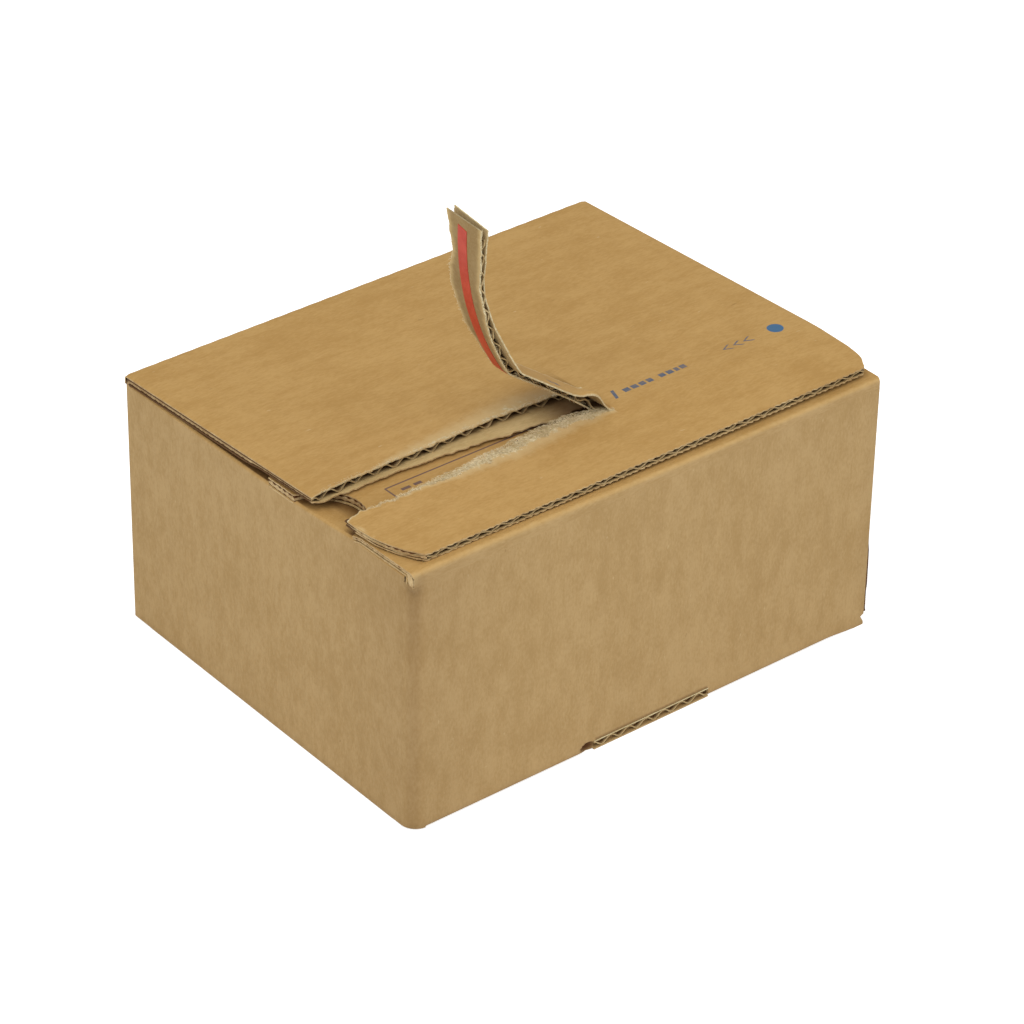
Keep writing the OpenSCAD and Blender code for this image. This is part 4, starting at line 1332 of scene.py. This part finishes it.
# %% Geometry Nodes: torn fibres
def fibre_tree():
    tree, given, result = geometry_group("Torn fibres", "Density", "Length", "Thickness")
    strew = add_node(tree, "GeometryNodeDistributePointsOnFaces",
                     {"Mesh": given["Geometry"], "Density": given["Density"]})
    curve = {"Resolution": 3}
    for label, shape in (("Start", (-0.5, 0, 0)), ("Middle", (0, 0.2, 0.35)), ("End", (0.5, 0, 0))):
        inputs = {0: shape, "Scale": given["Length"]}
        curve[label] = add_node(tree, "ShaderNodeVectorMath", inputs, operation="SCALE")[0]
    bow = add_node(tree, "GeometryNodeCurveQuadraticBezier", curve)[0]
    ring = add_node(tree, "GeometryNodeCurvePrimitiveCircle",
                    {"Resolution": 3, "Radius": given["Thickness"]})[0]
    tube = add_node(tree, "GeometryNodeCurveToMesh",
                    {"Curve": bow, "Profile Curve": ring, "Fill Caps": True})[0]
    angle = add_node(tree, "FunctionNodeRandomValue", {0: (-0.35, -0.35, -3.14), 1: (0.35, 0.35, 3.14)},
                     data_type="FLOAT_VECTOR")[0]
    turn = add_node(tree, "FunctionNodeEulerToRotation", {0: angle})[0]
    facing = add_node(tree, "FunctionNodeRotateRotation", {0: strew["Rotation"], 1: turn},
                      rotation_space="LOCAL")[0]
    size = add_node(tree, "FunctionNodeRandomValue", {2: 0.4, 3: 1.3}, data_type="FLOAT")[1]
    copies = add_node(tree, "GeometryNodeInstanceOnPoints",
                      {"Points": strew["Points"], "Instance": tube, "Rotation": facing, "Scale": size})[0]
    return end_tree(tree, given, result, copies)


FIBRES = fibre_tree()
fibre_paper = kraft("fibre_paper", (srgb(232, 218, 182), srgb(196, 174, 128)), bump=0.0)


def strew_fibres(name, rows, density, length, thick):
    """Fibres on a ribbon given by rows of points. Density counts fibres to the square millimetre."""
    flat, _, faces, _ = Sheet(name).add([[(p, (0, 0, 1)) for p in row] for row in rows]).welded()
    base = build_mesh(name + "_base", flat, faces, [])
    values = {"Density": density / MM ** 2, "Length": length * MM, "Thickness": thick * MM,
              "Material": fibre_paper}
    finish_piece(run_tree(name, base, FIBRES, values))


# %% Fibres along the tears
def surface_ribbon(xs, near, far):
    return [[lid_point(x, v, -0.05)[0] for v in np.linspace(near(x), far(x), 4)] for x in xs]


def fuzz_width(x):
    """Width of the woolly band, which gathers in tufts."""
    wide = np.interp(x, [-74, -58, -45, -25, 0, ROOT_X], [0.3, 0.7, 1.6, 2.8, 2.6, 1.0])
    return float(wide) * (1 + 0.45 * wander(x, 91, 2.6))


strew_fibres("fibres_band", surface_ribbon(
    stations(-76, ROOT_X - 0.3, 0.6), lambda x: band_tear_y(x) - fuzz_width(x),
    lambda x: band_tear_y(x) + 0.6 * fuzz_width(x)), 16.0, 1.0, 0.035)
strew_fibres("fibres_lid", surface_ribbon(
    stations(-80, ROOT_X - 4, 1.2), lambda x: outer_tear_y(x) - 0.3,
    lambda x: outer_tear_y(x) + 1.2), 3.0, 0.6, 0.03)
for name, side, line, pairs, seed in (
        ("front", 1, LINE_FRONT, FRONT_INNER, 37), ("rear", -1, LINE_REAR, REAR_INNER, 35)):
    rows = []
    for s in stations(4, STRIP_LEN - 1, 1.0):
        edge = strip_edge(s, pairs, seed, 0.3)
        rows.append([strip_point(s, line + side * (edge + w), strip_depth(s) - 0.2 - 0.9 * w)[0]
                     for w in (-0.4, 0.3, 1.0)])
    strew_fibres("fibres_strip_" + name, rows, 2.2, 0.8, 0.05)

# %% The glue that stays as in the part
for name in ("seal_adhesive", "seam_glue", "base_glue_left", "base_glue_right"):
    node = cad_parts[name]
    node.data.materials.clear()
    node.data.materials.append(glue_film)
print("glue films finished")

# %% [markdown]
# ## Floor, light and camera
# The photograph is a plain product picture: white ground, large soft lights and a
# long lens. The camera's place and lens were worked out from the box's corners.

# %% Floor and backdrop
FLOOR_HALF, FLOOR_Z = 3.0, -0.0002
WHITE = (1, 1, 1, 1)


def backdrop_material():
    """A floor that the camera sees as nearly pure white, and that still takes the box's shadow."""
    material, tree, shader = new_material("backdrop")
    seen = add_node(tree, "ShaderNodeLightPath")["Is Camera Ray"]
    for label, value in (("Base Color", (0.9, 0.9, 0.9, 1)), ("Roughness", 1.0), ("Specular IOR Level", 0.0),
                         ("Emission Color", WHITE), ("Emission Strength", times(tree, seen, 0.62))):
        put(shader[label], value)
    return material


corners = [(x, y, FLOOR_Z) for x, y in box_outline(-FLOOR_HALF, FLOOR_HALF, -FLOOR_HALF, FLOOR_HALF)]
floor_mesh = bpy.data.meshes.new("floor")
floor_mesh.from_pydata(corners, [], [(0, 1, 2, 3)])
floor_mesh.materials.append(backdrop_material())
floor = bpy.data.objects.new("floor", floor_mesh)
bpy.context.scene.collection.objects.link(floor)
world = bpy.data.worlds.new("studio")
world.use_nodes = True
bpy.context.scene.world = world
ray = add_node(world.node_tree, "ShaderNodeLightPath")
seen = merge(world.node_tree, [ray["Is " + kind + " Ray"] for kind in ("Camera", "Glossy", "Transmission")])
sky = world.node_tree.nodes["Background"].inputs
put(sky["Strength"], math_node(world.node_tree, "MULTIPLY_ADD", seen, 0.45, 0.6))
put(sky["Color"], WHITE)
print("floor and sky ready")


# %% Lamps
def lamp(name, place, size, power, target=(0, 0, 0.05)):
    data = bpy.data.lights.new(name, "AREA")
    data.shape = "SQUARE"
    data.size = size
    data.energy = power
    obj = bpy.data.objects.new(name, data)
    obj.location = place
    obj.rotation_euler = (Vector(target) - Vector(place)).to_track_quat("-Z", "Y").to_euler()
    bpy.context.scene.collection.objects.link(obj)


lamp("key", (-0.8, -0.5, 1.2), 0.9, 9.6)
lamp("fill", (0.4, -1.1, 0.9), 0.9, 3.6)
print("lamps ready")

# %% Camera
camera_data = bpy.data.cameras.new("camera")
camera_data.lens = 153.4
camera_data.sensor_width = 36.0
camera_data.clip_start = 0.01
camera = bpy.data.objects.new("camera", camera_data)
right = Vector((0.77976, -0.62588, 0.01561))
up = Vector((0.33174, 0.43418, 0.83752))
back = -Vector((0.53097, 0.64788, -0.54619))
turn = np.eye(4)
turn[:3, 0], turn[:3, 1], turn[:3, 2] = right, up, back
turn[:3, 3] = np.array((-660.3, -810.5, 719.0)) * MM
camera.matrix_world = Matrix(turn.tolist())
bpy.context.scene.collection.objects.link(camera)
bpy.context.scene.camera = camera
bpy.context.scene.view_settings.view_transform = "Standard"
print("camera at", [round(v, 3) for v in camera.location])
